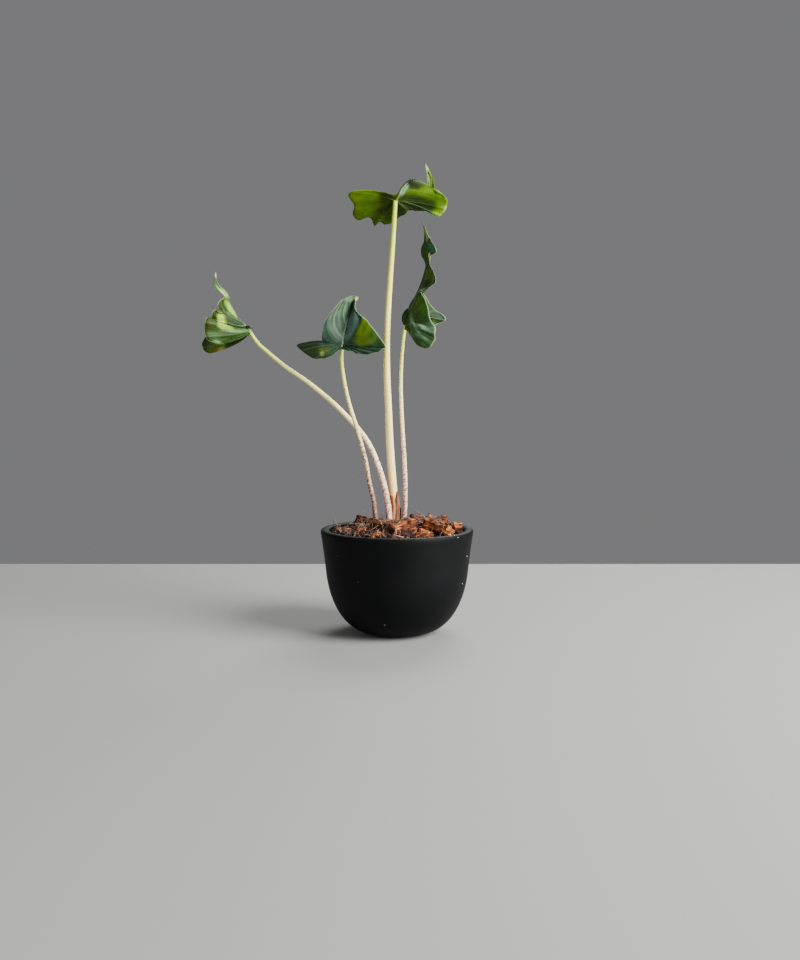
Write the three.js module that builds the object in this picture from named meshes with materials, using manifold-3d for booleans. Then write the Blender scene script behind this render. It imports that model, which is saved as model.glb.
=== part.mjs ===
// A young flamingo alocasia in a black bowl pot: four leaves on speckled stalks, rising from a
// corm in a bed of coconut husk chips. Millimetres, +Z up, +X to the right and +Y away from the
// front. The origin is the centre of the pot's flat underside.
import * as THREE from "three";
import { mergeVertices } from "three/addons/utils/BufferGeometryUtils.js";
import Module from "manifold-3d";

const wasm = await Module();
wasm.setup();

// Clearance between pieces that touch, and the extra room of a hole round the stalk in it
const GAP = 0.3;
const HOLE_MARGIN = 0.5;
const HOLE_DEPTH_SHARE = 0.1;

// Pot
const POT_SIDES = 48;
const POT_FLOOR_Z = 6;
const RIM_Z = 68;

// Leaves and stalks
const BLADE_THICKNESS = 0.8;
const MIDRIB_KEEL = 0.8;
const KEEL_REACH = 1;
const STALK_SIDES = 8;
const LOBE_ROWS = 16;
const SIDE_ROWS = 18;
const SEAM_ROWS = 3;
const COLUMN_SHARES = [0, 0.27, 0.52, 0.77, 1];
const FLARE_POWER = 1.8;
const FLARE_END = 0.35;

// Husk chips
const CHIP_COUNT = 38;
const CHIP_FIELD_RADIUS = 38;
const CHIP_SIZE = [7, 12];
const CHIP_LIMIT_Z = 90;

// Corm: the centre and height of its flat top, and its size
const CORM_TOP = [-3, 1, 57];
const CORM_RADIUS = 9;
const CORM_HEIGHT = 20;
const CORM_SIDES = 20;

// Colour and roughness of each finish
const FINISH = {
  pot: { color: 0x121315, roughness: 0.5, metalness: 0 },
  husk: { color: 0x7a4024, roughness: 0.95, metalness: 0 },
  corm: { color: 0x6b4a30, roughness: 0.9, metalness: 0 },
  stalkPink: { color: 0xd9bdb0, roughness: 0.5, metalness: 0 },
  stalkCream: { color: 0xe9dfae, roughness: 0.45, metalness: 0 },
  leafDark: { color: 0x2c4f33, roughness: 0.35, metalness: 0 },
  leafBright: { color: 0x4f7d1c, roughness: 0.4, metalness: 0 },
  sheath: { color: 0xa8642c, roughness: 0.8, metalness: 0 },
  stub: { color: 0x4a2415, roughness: 0.9, metalness: 0 },
};

// The pot's outer curve from its foot to its rim, its lip and its inside, as radius and height
const POT_OUTSIDE = [
  [18, 0],
  [27, 2.9],
  [34.2, 8.4],
  [39.4, 15.8],
  [43.2, 24.5],
  [45.8, 35],
  [47.3, 48],
  [49, 61],
];
const POT_LIP = [
  [49.7, 66],
  [49.5, 67.4],
  [48.6, RIM_Z],
  [45.4, RIM_Z],
  [44.5, 67.5],
  [44.2, 66.4],
];
const POT_INSIDE = [
  [43.5, 61],
  [42, 48],
  [40.2, 35],
  [37.2, 24.5],
  [32.4, 15.4],
  [24, 8.6],
  [13, POT_FLOOR_Z],
];

// The husk bed's top, as radius and height: it heaps up a little round the stalks
const BED_TOP = [
  [44, 63.5],
  [24, 67],
  [0, 69],
];

// Each stalk's centreline from the corm to its leaf, and its radius at both ends
const STALKS = {
  petiole_center: {
    leaf: "leaf_top",
    finish: "stalkCream",
    radii: [2.9, 1.4],
    path: [
      [-2.5, 2, 57.3],
      [-1.5, 2, 83],
      [-2.5, 2, 93],
      [-4.5, 2, 120.5],
      [-5.5, 1, 144],
      [-6.5, 0.5, 168],
      [-6.5, 0, 190.5],
      [-5.5, 0, 212.5],
      [-4, 0, 234.5],
      [-2.5, 0, 255],
      [-1, 0, 278.3],
    ],
  },
  petiole_right: {
    leaf: "leaf_right",
    finish: "stalkPink",
    radii: [1.6, 1],
    path: [
      [2.2, 4, 57.3],
      [5, 5, 78.5],
      [5.5, 5, 93],
      [5, 5, 109.5],
      [4, 5, 125.5],
      [3, 5, 144],
      [2.5, 5, 161.5],
      [3, 5, 177.5],
      [4, 4.8, 190],
      [4.9, 4.9, 196.5],
      [5.6, 5.4, 200.2],
      [5.4, 5.6, 202.9],
    ],
  },
  petiole_far_left: {
    leaf: "leaf_far_left",
    finish: "stalkPink",
    radii: [2.2, 1.1],
    path: [
      [-4.8, -4.2, 57.3],
      [-5.3, -4.2, 79],
      [-6.8, -4, 89],
      [-9, -3, 99],
      [-12, -2, 108.5],
      [-15.5, -1, 117.5],
      [-20, 0, 126],
      [-26.5, 1, 134.5],
      [-34.5, 1, 143],
      [-44.5, 1, 152.5],
      [-59.5, 1, 164.5],
      [-72.5, 1, 173.5],
      [-83.5, 1, 182.5],
      [-90, 1, 188.5],
      [-95, 1, 195.8],
    ],
  },
  petiole_mid_left: {
    leaf: "leaf_mid_left",
    finish: "stalkPink",
    radii: [1.6, 1.1],
    path: [
      [-8.5, -1.5, 57.3],
      [-12.6, -8, 70],
      [-14, -9, 78],
      [-15, -9, 87.5],
      [-17.5, -9, 97.5],
      [-19.5, -9, 110],
      [-22.5, -9, 122.5],
      [-26, -9, 135],
      [-29.5, -9.5, 146],
      [-32, -10, 156],
      [-34, -11, 166.5],
      [-35, -11.5, 176.5],
      [-35, -10.6, 181.5],
      [-34.8, -10.6, 184.5],
      [-34.5, -11.4, 186.3],
    ],
  },
};

// Each leaf is three rails. The midrib runs from the stalk to the tip. The left and right edges
// run from the notch behind the stalk, round a lobe and on to the tip, as seen on the upper face
// with the tip up. An edge point's first number is the share of the midrib that it faces: the
// points of a lobe face its start, 0, and the tip is 1. The upper face leaves the stalk square to
// the leaf's normal.
const LEAVES = {
  leaf_top: {
    finish: "leafBright",
    camber: 0.05,
    normal: [-0.1, 0.75, 0.65],
    midrib: [
      [-1, 0, 278.5], [1.5, -2.5, 282], [4.5, -4.5, 286], [8, -5.5, 289], [11, -4, 290.5],
      [14.5, 0, 289], [17.5, 4, 286.5], [20.5, 7, 285.5], [22, 9, 288.5], [22, 9.5, 294],
      [20, 8.5, 299], [18, 7, 303.5],
    ],
    left: [
      [0, 7, 7, 273.5], [0, 10.5, 8, 273.5], [0, 14, 8.5, 273], [0, 19, 9, 273.5],
      [0, 22.5, 10, 272], [0, 26.5, 10, 270], [0, 29.5, 9, 271.5], [0, 32, 6, 275],
      [0.25, 32.5, 3.5, 277.5], [0.35, 31.5, 1.5, 280], [0.45, 28.5, 0, 282],
      [0.54, 25, 0, 283], [0.62, 23.5, 3, 285], [0.7, 24, 7, 288.5], [0.83, 23, 9, 295],
      [1, 18, 7, 303.5],
    ],
    right: [
      [0, 7, 7, 273.5], [0, 5, 11, 271.5], [0, 2, 13, 270.5], [0, -1.5, 15.5, 268],
      [0, -5.5, 16.5, 266.5], [0, -8.5, 16.5, 266], [0, -11, 15, 267.5],
      [0, -14.5, 16.5, 265.5], [0, -17, 12.5, 269], [0, -20, 11, 269], [0, -25, 11.5, 268],
      [0, -28.5, 8, 271], [0, -27.5, 3.5, 275.5], [0, -31, -3, 280.5], [0, -28.5, -6, 282.5],
      [0, -22, -6.5, 283], [0, -15, -6, 283], [0, -7.5, -5, 282], [0, -3, -4.5, 281],
      [0.1, 0, -3, 282], [0.2, 3, 0, 285.5], [0.3, 6, 6, 290.5], [0.38, 9.5, 11, 294.5],
      [0.45, 13.5, 15, 294], [0.53, 16, 16, 291], [0.6, 18, 14, 288.5], [0.66, 19.5, 10.5, 287],
      [0.74, 19.5, 8.5, 291.5], [0.87, 19, 8.2, 298], [1, 18, 7, 303.5],
    ],
  },
  leaf_mid_left: {
    finish: "leafDark",
    camber: 0.07,
    normal: [-0.1, -0.85, 0.5],
    midrib: [
      [-34.5, -11.5, 186.5], [-34, -9.5, 191.5], [-32.5, -7, 198], [-31, -3, 205.5],
      [-29, 0, 212], [-27.5, 2, 216], [-26, 3, 217.5], [-24.5, 3, 217],
    ],
    left: [
      [0, -35, -13.5, 183.5], [0, -37.5, -13.5, 182.5], [0, -39.5, -13, 180],
      [0, -43.5, -12, 178], [0, -48, -11, 177.5], [0, -53.5, -9.5, 178], [0, -57, -8, 180],
      [0, -61, -6, 183], [0, -64, -4, 186], [0, -59.5, -2.5, 185], [0, -53, -3, 185],
      [0, -48.5, -6, 186], [0, -47, -10, 187.5], [0.08, -47.5, -13, 191],
      [0.18, -47, -14.5, 195], [0.29, -46, -14.5, 200], [0.41, -43.5, -13, 205],
      [0.52, -40.5, -10.5, 209], [0.64, -37, -7, 213.5], [0.75, -33.5, -3.5, 216.5],
      [0.86, -30, -0.5, 218], [0.94, -27, 1.5, 218.5], [1, -24.5, 3, 217],
    ],
    right: [
      [0, -35, -13.5, 183.5], [0, -32.5, -15, 183], [0, -28.5, -18, 181.5],
      [0, -23.5, -21, 180], [0, -18.5, -24, 179.5], [0, -13, -26.5, 180.5],
      [0, -9, -28, 182], [0, -6.5, -28.5, 184], [0.08, -9, -26, 188.5],
      [0.17, -12.5, -23, 193.5], [0.27, -16, -19, 198], [0.35, -18.5, -16, 201.5],
      [0.42, -21, -13, 203.5], [0.52, -24, -9, 207], [0.64, -26, -6, 210.5],
      [0.78, -26, -2.5, 214], [0.9, -25.5, 0, 216], [1, -24.5, 3, 217],
    ],
  },
  leaf_far_left: {
    finish: "leafDark",
    camber: 0.06,
    normal: [-0.98, 0, 0.17],
    midrib: [
      [-95, 1, 196], [-98.5, 1.2, 200], [-102.5, 1.6, 204], [-105.5, 2, 208.5],
      [-108, 2, 213], [-109.5, 1.5, 217.5], [-111.5, 1, 220.5], [-114, 0, 223.5],
      [-115.5, -0.5, 226], [-116.5, -0.5, 229.5], [-116, 0, 233.5],
    ],
    left: [
      [0, -96, 0.5, 192.5], [0, -100, 1.5, 193.5], [0, -104.5, 3.4, 192.5],
      [0, -108.5, 5.6, 191.5], [0, -112, 7.8, 189.5], [0, -114.5, 10.4, 186.5],
      [0, -120, 14, 183.5], [0, -124, 16, 182.5], [0, -128, 17.5, 185], [0, -129, 18, 188],
      [0, -127.5, 18, 192], [0, -125.5, 17.5, 197.5], [0.12, -122, 16, 202.5],
      [0.24, -118, 13.5, 207.5], [0.36, -113, 10.5, 212], [0.46, -109, 7.5, 215.5],
      [0.56, -108.5, 4.5, 218.5], [0.66, -110.5, 3, 222], [0.76, -113, 2, 224.5],
      [0.88, -115.5, 1, 228], [1, -116, 0, 233.5],
    ],
    right: [
      [0, -96, 0.5, 192.5], [0, -99, -1, 193.5], [0, -103, -2.6, 193.5], [0, -107, -4.6, 193],
      [0, -110, -7.5, 190], [0, -112.5, -11, 186.5], [0, -115.5, -12.5, 188],
      [0, -119, -14, 189.5], [0, -120.5, -15.5, 192.5], [0, -120.5, -16, 197],
      [0, -119.5, -16, 202.5], [0.08, -118, -14.5, 203.5], [0.14, -116, -12.5, 201],
      [0.2, -115, -11.5, 204], [0.27, -112.5, -10.5, 207], [0.35, -112, -8.5, 210.5],
      [0.43, -110.5, -6, 214], [0.51, -109.5, -3.5, 217], [0.6, -112.5, -3, 220],
      [0.7, -116, -3.5, 223], [0.85, -117, -2, 228], [1, -116, 0, 233.5],
    ],
  },
  leaf_right: {
    finish: "leafDark",
    camber: 0.06,
    normal: [-0.88, -0.35, 0.3],
    midrib: [
      [5.5, 5.5, 203], [6, 6.8, 207], [7, 8, 211], [11, 9.5, 218], [14.5, 10, 225.5],
      [17.5, 9.5, 234.5], [19, 8.5, 241], [19.5, 8, 247.5], [19.5, 7.5, 254], [18, 7, 261],
      [16, 6.5, 266.5],
    ],
    left: [
      [0, 5, 3.2, 197], [0, 5, 7.5, 198], [0, 7, 11.5, 196.5], [0, 11, 15.5, 195.5],
      [0, 16, 19.5, 196], [0, 20.5, 23.5, 198.5], [0, 25, 27, 201.5], [0, 29, 29.5, 203],
      [0, 33, 31, 206.5], [0.04, 30, 29.5, 210], [0.09, 25.5, 27, 212.5],
      [0.18, 21, 23.5, 218], [0.3, 17.5, 20, 224.5], [0.4, 19.5, 17.5, 231],
      [0.5, 21.5, 15.5, 237], [0.58, 18.5, 14, 243], [0.64, 16, 13.5, 246.5],
      [0.7, 16, 13, 250], [0.77, 17.5, 11, 254.5], [0.88, 17.5, 8.5, 261], [1, 16, 6.5, 266.5],
    ],
    right: [
      [0, 5, 3.2, 197], [0, 7, 0, 195.5], [0, 9, -4, 192], [0, 12.5, -9, 186.5],
      [0, 17.5, -12, 184], [0, 21.5, -14, 185], [0, 24, -15, 189], [0, 24.5, -15, 193.5],
      [0, 24, -14, 198], [0.05, 21.5, -12.5, 202], [0.1, 20.5, -10, 208],
      [0.19, 18.5, -6, 215.5], [0.26, 16, -2, 220.5], [0.3, 18, -4, 220],
      [0.34, 21.5, -5.5, 223], [0.38, 25, -6, 226], [0.43, 25, -5, 230],
      [0.49, 22.5, -2, 235.5], [0.55, 21, 0, 240], [0.6, 22, -1, 243.5],
      [0.65, 25.5, -3, 245.5], [0.7, 25, -2.5, 249], [0.77, 22, 0, 253.5],
      [0.86, 19.5, 3, 259], [1, 16, 6.5, 266.5],
    ],
  },
};

// The papery sheath round the foot of the tallest stalk, split down the front. Its torn top runs
// from the right of the split, round the back, to the left of it.
const SHEATH = {
  radius: 3.75,
  thickness: 0.7,
  from: 66,
  split: 34,
  tops: [92.3, 92, 90.5, 88, 85, 83, 84.5, 86, 85.5, 87.5, 89, 89.5],
  rows: 6,
};

// The stump of an old leaf behind the stalks, as a stalk is given above
const STUB = {
  radii: [1.4, 1.15],
  path: [
    [1.5, 7.6, 62],
    [1.6, 7.9, 72],
    [1.65, 8, 80.5],
  ],
};

// The corm's side from its flat top to its foot, as shares of its radius and height
const CORM_OUTLINE = [
  [0, 1],
  [0.87, 1],
  [1, 0.82],
  [0.97, 0.5],
  [0.72, 0.2],
  [0.3, 0.03],
  [0, 0],
];

// The largest chips, placed by hand: centre, size and turn in degrees
const LARGE_CHIPS = [
  { at: [3, -23, 70.5], size: [17, 12, 13], turn: [10, -8, 25] },
  { at: [23, -15, 70.5], size: [14, 12, 13], turn: [15, 12, -20] },
  { at: [32, -20, 68.5], size: [8, 7, 7], turn: [-15, 30, 40] },
  { at: [39, -8, 69.5], size: [6, 6, 6], turn: [30, 10, 10] },
  { at: [-13, -33, 67], size: [7, 6, 5], turn: [25, -20, 30] },
  { at: [-21, 19, 69.5], size: [16, 10, 8], turn: [-12, 10, 15] },
  { at: [-33, -12, 67], size: [15, 7, 5], turn: [8, -12, -25] },
  { at: [-21, -16, 68], size: [13, 7, 7], turn: [-10, 12, 20] },
  { at: [14, 12, 70.5], size: [12, 10, 9], turn: [15, 18, 50] },
  { at: [28, 15, 70], size: [12, 9, 8], turn: [-12, -10, 25] },
  { at: [-11, -16, 71], size: [10, 8, 10], turn: [20, 15, 50] },
  { at: [-4, -13, 71], size: [8, 6, 9], turn: [-10, 8, -15] },
  { at: [9, -4, 70], size: [9, 8, 8], turn: [12, 20, 35] },
  { at: [16, -33, 67], size: [9, 7, 6], turn: [12, -25, 5] },
];

const vector = (point) => new THREE.Vector3(...point);
const curveThrough = (points) => new THREE.CatmullRomCurve3(points.map(vector), false, "centripetal");

// A repeatable number from 0 to 1 for each whole number
function draw(n) {
  const wave = Math.sin(n * 12.9898 + 4.1414) * 43758.5453;
  return wave - Math.floor(wave);
}

// The same mesh with shared corners merged and the triangles that this closes up left out
function withoutSlivers(geometry) {
  const bare = geometry.clone();
  bare.deleteAttribute("normal");
  bare.deleteAttribute("uv");
  const merged = mergeVertices(bare, 1e-3);
  const corners = merged.index.array;
  const kept = [];
  for (let i = 0; i < corners.length; i += 3) {
    const [a, b, c] = corners.slice(i, i + 3);
    if (a !== b && b !== c && c !== a) kept.push(a, b, c);
  }
  merged.setIndex(kept);
  merged.computeVertexNormals();
  return merged;
}

// A closed mesh as a solid that can be joined and cut
function solidOf(geometry) {
  const merged = withoutSlivers(geometry);
  return new wasm.Manifold(
    new wasm.Mesh({
      numProp: 3,
      vertProperties: merged.getAttribute("position").array,
      triVerts: new Uint32Array(merged.index.array),
    }),
  );
}

// The largest body of a solid as a geometry, so that a loose scrap from a cut is dropped
function geometryOf(solid) {
  const bodies = solid.decompose().sort((a, b) => b.volume() - a.volume());
  const mesh = bodies[0].getMesh();
  const geometry = new THREE.BufferGeometry();
  geometry.setAttribute("position", new THREE.BufferAttribute(mesh.vertProperties, 3));
  geometry.setIndex(new THREE.BufferAttribute(mesh.triVerts, 1));
  geometry.computeVertexNormals();
  return geometry;
}

// A solid of revolution about the pot's axis, from points of radius and height
function turned(profile, sides = POT_SIDES) {
  const points = profile.map(([radius, height]) => new THREE.Vector2(radius, height));
  return new THREE.LatheGeometry(points, sides).rotateX(Math.PI / 2);
}

// A round stalk along a curve, its radius running evenly from the first to the second
function taperedTube(path, radii, steps) {
  const curve = curveThrough(path);
  const frames = curve.computeFrenetFrames(steps, false);
  const tube = new THREE.CylinderGeometry(1, 1, 1, STALK_SIDES, steps);
  const places = tube.getAttribute("position");
  for (let i = 0; i < places.count; i++) {
    const share = places.getY(i) + 0.5;
    const ring = Math.round(share * steps);
    const radius = THREE.MathUtils.lerp(radii[0], radii[1], share);
    const place = curve
      .getPointAt(ring / steps)
      .addScaledVector(frames.normals[ring], -places.getX(i) * radius)
      .addScaledVector(frames.binormals[ring], places.getZ(i) * radius);
    places.setXYZ(i, place.x, place.y, place.z);
  }
  return tube;
}

// Where along an edge curve a row of the leaf ends: the first rows fan round the lobe
function edgeShare(edge, row) {
  const last = edge.length - 1;
  const lobeEnd = edge.findLastIndex(([facing]) => facing === 0);
  if (row <= LOBE_ROWS) return ((row / LOBE_ROWS) * lobeEnd) / last;
  const facing = (row - LOBE_ROWS) / SIDE_ROWS;
  const next = edge.findIndex((point) => point[0] >= facing - 1e-9);
  const [before, after] = [edge[next - 1][0], edge[next][0]];
  return (next - 1 + (facing - before) / (after - before)) / last;
}

// The leaf as a thin sheet of rows from the notch to the tip and columns across the midrib. Near
// the stalk each row leaves flat and then bends away to its edge.
function leafSheet({ midrib, left, right, camber, normal }) {
  const rows = LOBE_ROWS + SIDE_ROWS;
  const columns = COLUMN_SHARES.length - 1;
  const rib = curveThrough(midrib);
  const edges = [left, right].map((edge) => curveThrough(edge.map((point) => point.slice(1))));
  const face = vector(normal).normalize();
  const sheet = new THREE.PlaneGeometry(2 * columns, rows, 2 * columns, rows);
  const places = sheet.getAttribute("position");
  for (let i = 0; i < places.count; i++) {
    const row = Math.round(places.getY(i) + rows / 2);
    const side = places.getX(i) < 0 ? 0 : 1;
    const across = COLUMN_SHARES[Math.round(Math.abs(places.getX(i)))];
    const facing = Math.max(0, row - LOBE_ROWS) / SIDE_ROWS;
    const share = edgeShare([left, right][side], row);
    const root = rib.getPoint(facing);
    const reach = edges[side].getPoint(share).sub(root);
    const ahead = edges[side].getTangent(share);
    const upward = side ? reach.clone().cross(ahead) : ahead.clone().cross(reach);
    const arch = camber * Math.min(1, row / SEAM_ROWS);
    const rise = 4 * arch * reach.length() * across * (1 - across);
    const flare = (across ** FLARE_POWER - across) * Math.max(0, 1 - facing / FLARE_END);
    const place = root
      .addScaledVector(reach, across)
      .addScaledVector(upward.normalize(), rise)
      .addScaledVector(face, flare * reach.dot(face));
    places.setXYZ(i, place.x, place.y, place.z);
  }
  return withoutSlivers(sheet);
}

// A sheet given thickness along its normals: the same triangles on both faces, so that they never
// cross, and a wall round its edge. The thickness below may differ from place to place.
function thickened(sheet, above, below) {
  const places = sheet.getAttribute("position");
  const normals = sheet.getAttribute("normal");
  const corners = sheet.index.array;
  const points = [];
  const triangles = [];
  const edges = new Set();
  for (const face of [1, -1]) {
    for (let i = 0; i < places.count; i++) {
      const place = new THREE.Vector3().fromBufferAttribute(places, i);
      const depth = face > 0 ? above : -below(place);
      place.addScaledVector(new THREE.Vector3().fromBufferAttribute(normals, i), depth);
      points.push(place.x, place.y, place.z);
    }
  }
  const under = places.count;
  for (let i = 0; i < corners.length; i += 3) {
    const [a, b, c] = corners.slice(i, i + 3);
    triangles.push(a, b, c, a + under, c + under, b + under);
    edges.add(`${a} ${b}`).add(`${b} ${c}`).add(`${c} ${a}`);
  }
  for (const edge of edges) {
    const [a, b] = edge.split(" ").map(Number);
    if (!edges.has(`${b} ${a}`)) triangles.push(a + under, b + under, b, a + under, b, a);
  }
  const solid = new THREE.BufferGeometry();
  solid.setAttribute("position", new THREE.Float32BufferAttribute(points, 3));
  solid.setIndex(triangles);
  return solid;
}

// A leaf blade as a solid, with a keel under its midrib. A margin makes it thicker.
function leafBlade(leaf, margin = 0) {
  const half = BLADE_THICKNESS / 2 + margin;
  const ribPoints = curveThrough(leaf.midrib).getPoints(10 * SIDE_ROWS);
  const fromRib = (place) => Math.min(...ribPoints.map((point) => point.distanceTo(place)));
  const below = (place) => half + MIDRIB_KEEL * Math.max(0, 1 - fromRib(place) / KEEL_REACH);
  return solidOf(thickened(leafSheet(leaf), half, below));
}

// The room that a blade takes up with a gap all round: a thicker one, and copies of the blade
// moved a little each way to clear its edges
function leafRoom(leaf) {
  const blade = leafBlade(leaf);
  const moves = [-GAP, GAP];
  const copies = moves.flatMap((x) => moves.flatMap((y) => moves.map((z) => blade.translate([x, y, z]))));
  return [leafBlade(leaf, GAP), ...copies];
}

// A block of coconut husk, its corners pushed in so that no two are alike
function huskChip({ at, size, turn }, seed) {
  const chip = new THREE.BoxGeometry(...size);
  const places = chip.getAttribute("position");
  for (let i = 0; i < places.count; i++) {
    const point = [places.getX(i), places.getY(i), places.getZ(i)];
    const corner = point.reduce((sum, side, axis) => sum + (side > 0 ? 2 ** axis : 0), 0);
    const pushed = point.map((side, axis) => side * (0.72 + 0.28 * draw(24 * seed + 3 * corner + axis)));
    places.setXYZ(i, ...pushed);
  }
  const radians = turn.map(THREE.MathUtils.degToRad);
  chip.applyMatrix4(new THREE.Matrix4().makeRotationFromEuler(new THREE.Euler(...radians)));
  return solidOf(chip.translate(...at));
}

// The height of the husk bed at a distance from the pot's axis
function bedHeight(radius) {
  const inner = BED_TOP.findIndex(([edge]) => edge <= radius);
  const [[near, nearZ], [far, farZ]] = [BED_TOP[inner], BED_TOP[inner - 1]];
  return THREE.MathUtils.mapLinear(radius, near, far, nearZ, farZ);
}

// A smaller chip of the ones spread evenly over the bed by the golden angle
function smallChip(n) {
  const angle = n * Math.PI * (3 - Math.sqrt(5));
  const radius = CHIP_FIELD_RADIUS * Math.sqrt((n + 0.5) / CHIP_COUNT);
  const length = THREE.MathUtils.lerp(...CHIP_SIZE, draw(n));
  return {
    at: [radius * Math.cos(angle), radius * Math.sin(angle), bedHeight(radius) + 1.2 * draw(n + 100)],
    size: [length, length * (0.55 + 0.3 * draw(n + 200)), length * (0.45 + 0.2 * draw(n + 300))],
    turn: [50 * draw(n + 400) - 25, 50 * draw(n + 500) - 25, 360 * draw(n + 600)],
  };
}

// The pot, open at the top with a thick rounded lip
function pot() {
  return solidOf(turned([[0, 0], ...POT_OUTSIDE, ...POT_LIP, ...POT_INSIDE, [0, POT_FLOOR_Z]]));
}

// The corm under the bed's surface, with the flat top that the stalks stand on
function corm(margin = 0) {
  const [x, y, top] = CORM_TOP;
  const profile = CORM_OUTLINE.map(([across, up]) => [
    across === 0 ? 0 : across * CORM_RADIUS + margin,
    top - CORM_HEIGHT - margin + up * (CORM_HEIGHT + 2 * margin),
  ]);
  return solidOf(turned(profile.reverse(), CORM_SIDES).translate(x, y, 0));
}

// A stalk as a tube. With a margin it is wider and starts deeper, to cut the hole it stands in.
function stalk({ path, radii }, margin = 0) {
  const deeper = vector(path[0]).lerp(vector(path[1]), -HOLE_DEPTH_SHARE).toArray();
  const centreline = margin > 0 ? [deeper, ...path] : path;
  const grown = radii.map((radius) => radius + margin);
  return solidOf(taperedTube(centreline, grown, Math.round(1.5 * path.length)));
}

// The sheath as a split shell that follows the stalk inside it
function sheath(margin = 0) {
  const { radius, thickness, from, split, tops, rows } = SHEATH;
  const centreline = curveThrough(STALKS.petiole_center.path).getPoints(400);
  const opening = split - 2 * THREE.MathUtils.radToDeg(margin / radius);
  const turns = tops.length - 1;
  const shell = new THREE.PlaneGeometry(turns, rows, turns, rows);
  const places = shell.getAttribute("position");
  for (let i = 0; i < places.count; i++) {
    const column = Math.round(places.getX(i) + turns / 2);
    const rise = places.getY(i) / rows + 0.5;
    const turn = -90 + opening / 2 + ((360 - opening) * column) / turns;
    const angle = THREE.MathUtils.degToRad(turn);
    const height = THREE.MathUtils.lerp(from - margin, tops[column] + margin, rise);
    const centre = centreline.find((point) => point.z >= height);
    const [x, y] = [Math.cos(angle), Math.sin(angle)].map((side) => radius * side);
    places.setXYZ(i, centre.x + x, centre.y + y, height);
  }
  const half = thickness / 2 + margin;
  return solidOf(thickened(withoutSlivers(shell), half, () => half));
}

// The husk: a bed and the chips on it, kept inside the pot, with holes for all that stands in it
function pottingMix() {
  const wall = POT_INSIDE.map(([radius, z]) => [radius - GAP, z + GAP]);
  const floor = POT_FLOOR_Z + GAP;
  const [brim] = wall[0];
  const bowl = turned([[0, floor], ...wall.reverse(), [brim, CHIP_LIMIT_Z], [0, CHIP_LIMIT_Z]]);
  const bed = turned([[0, 0], [BED_TOP[0][0], 0], ...BED_TOP]);
  const smallChips = Array.from({ length: CHIP_COUNT }, (_, n) => smallChip(n));
  const chips = [...LARGE_CHIPS, ...smallChips].map(huskChip);
  const holes = [
    corm(GAP),
    sheath(GAP),
    stalk(STUB, HOLE_MARGIN),
    ...Object.values(STALKS).map((shape) => stalk(shape, HOLE_MARGIN)),
  ];
  const heap = wasm.Manifold.union([solidOf(bed), ...chips]).intersect(solidOf(bowl));
  return heap.subtract(wasm.Manifold.union(holes));
}

// One named piece of the plant in its own finish
function piece(name, solid, finish) {
  const mesh = new THREE.Mesh(geometryOf(solid), new THREE.MeshStandardMaterial(FINISH[finish]));
  mesh.name = name;
  return mesh;
}

const blades = Object.entries(LEAVES).map(([name, leaf]) => piece(name, leafBlade(leaf), leaf.finish));
const petioles = Object.entries(STALKS).map(([name, shape]) => {
  const endRoom = wasm.Manifold.union([corm(GAP), ...leafRoom(LEAVES[shape.leaf])]);
  return piece(name, stalk(shape).subtract(endRoom), shape.finish);
});

const plant = new THREE.Group();
plant.add(
  piece("pot", pot(), "pot"),
  piece("potting_mix", pottingMix(), "husk"),
  piece("corm", corm(), "corm"),
  piece("dry_sheath", sheath(), "sheath"),
  piece("old_leaf_stub", stalk(STUB), "stub"),
  ...petioles,
  ...blades,
);

export default plant;
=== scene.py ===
# %% [markdown]
# This lesson dresses a potted flamingo alocasia. The frame holds its solids at their real size: a
# bowl pot, a bed of coconut husk, a corm, four stalks and four curled leaves. Each grown or soft
# piece is modelled again here with a finer mesh in the same place, and every surface gets its
# finish. Shapes are worked out in millimetres, +Z up, and turned to metres when a piece is done.

# %% Load the frame
import bisect
import math
import random

import bmesh
import bpy
from mathutils import Euler, Matrix, Vector, noise
from mathutils.bvhtree import BVHTree


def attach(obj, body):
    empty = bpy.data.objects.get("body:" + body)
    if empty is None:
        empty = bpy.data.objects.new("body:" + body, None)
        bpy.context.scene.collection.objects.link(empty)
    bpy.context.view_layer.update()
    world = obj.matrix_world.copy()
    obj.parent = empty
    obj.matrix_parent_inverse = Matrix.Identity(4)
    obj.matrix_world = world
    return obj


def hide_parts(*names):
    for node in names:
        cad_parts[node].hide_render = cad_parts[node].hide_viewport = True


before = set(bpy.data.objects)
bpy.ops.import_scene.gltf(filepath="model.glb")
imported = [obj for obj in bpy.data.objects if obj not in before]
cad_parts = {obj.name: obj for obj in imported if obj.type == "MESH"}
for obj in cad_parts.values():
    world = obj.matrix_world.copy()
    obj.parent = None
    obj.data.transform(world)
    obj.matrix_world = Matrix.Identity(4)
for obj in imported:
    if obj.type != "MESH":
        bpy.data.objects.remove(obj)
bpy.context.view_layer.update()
MM = 0.001
print("the frame holds", sorted(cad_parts))

# %% [markdown]
# The camera stands where the photograph was taken: 617 mm in front of the pot's axis, at about
# half the plant's height, dipped 4.65 degrees. Its focal length is known in pixels of the 800
# pixel wide picture, and a camera wants it in millimetres of sensor, so it is scaled.

# %% Camera
CAMERA_AT = Vector((1.95, -617, 150))
CAMERA_DIP = 4.65
FOCAL_PX = 950
PICTURE_WIDTH_PX = 800
SENSOR_WIDTH = 36

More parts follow.
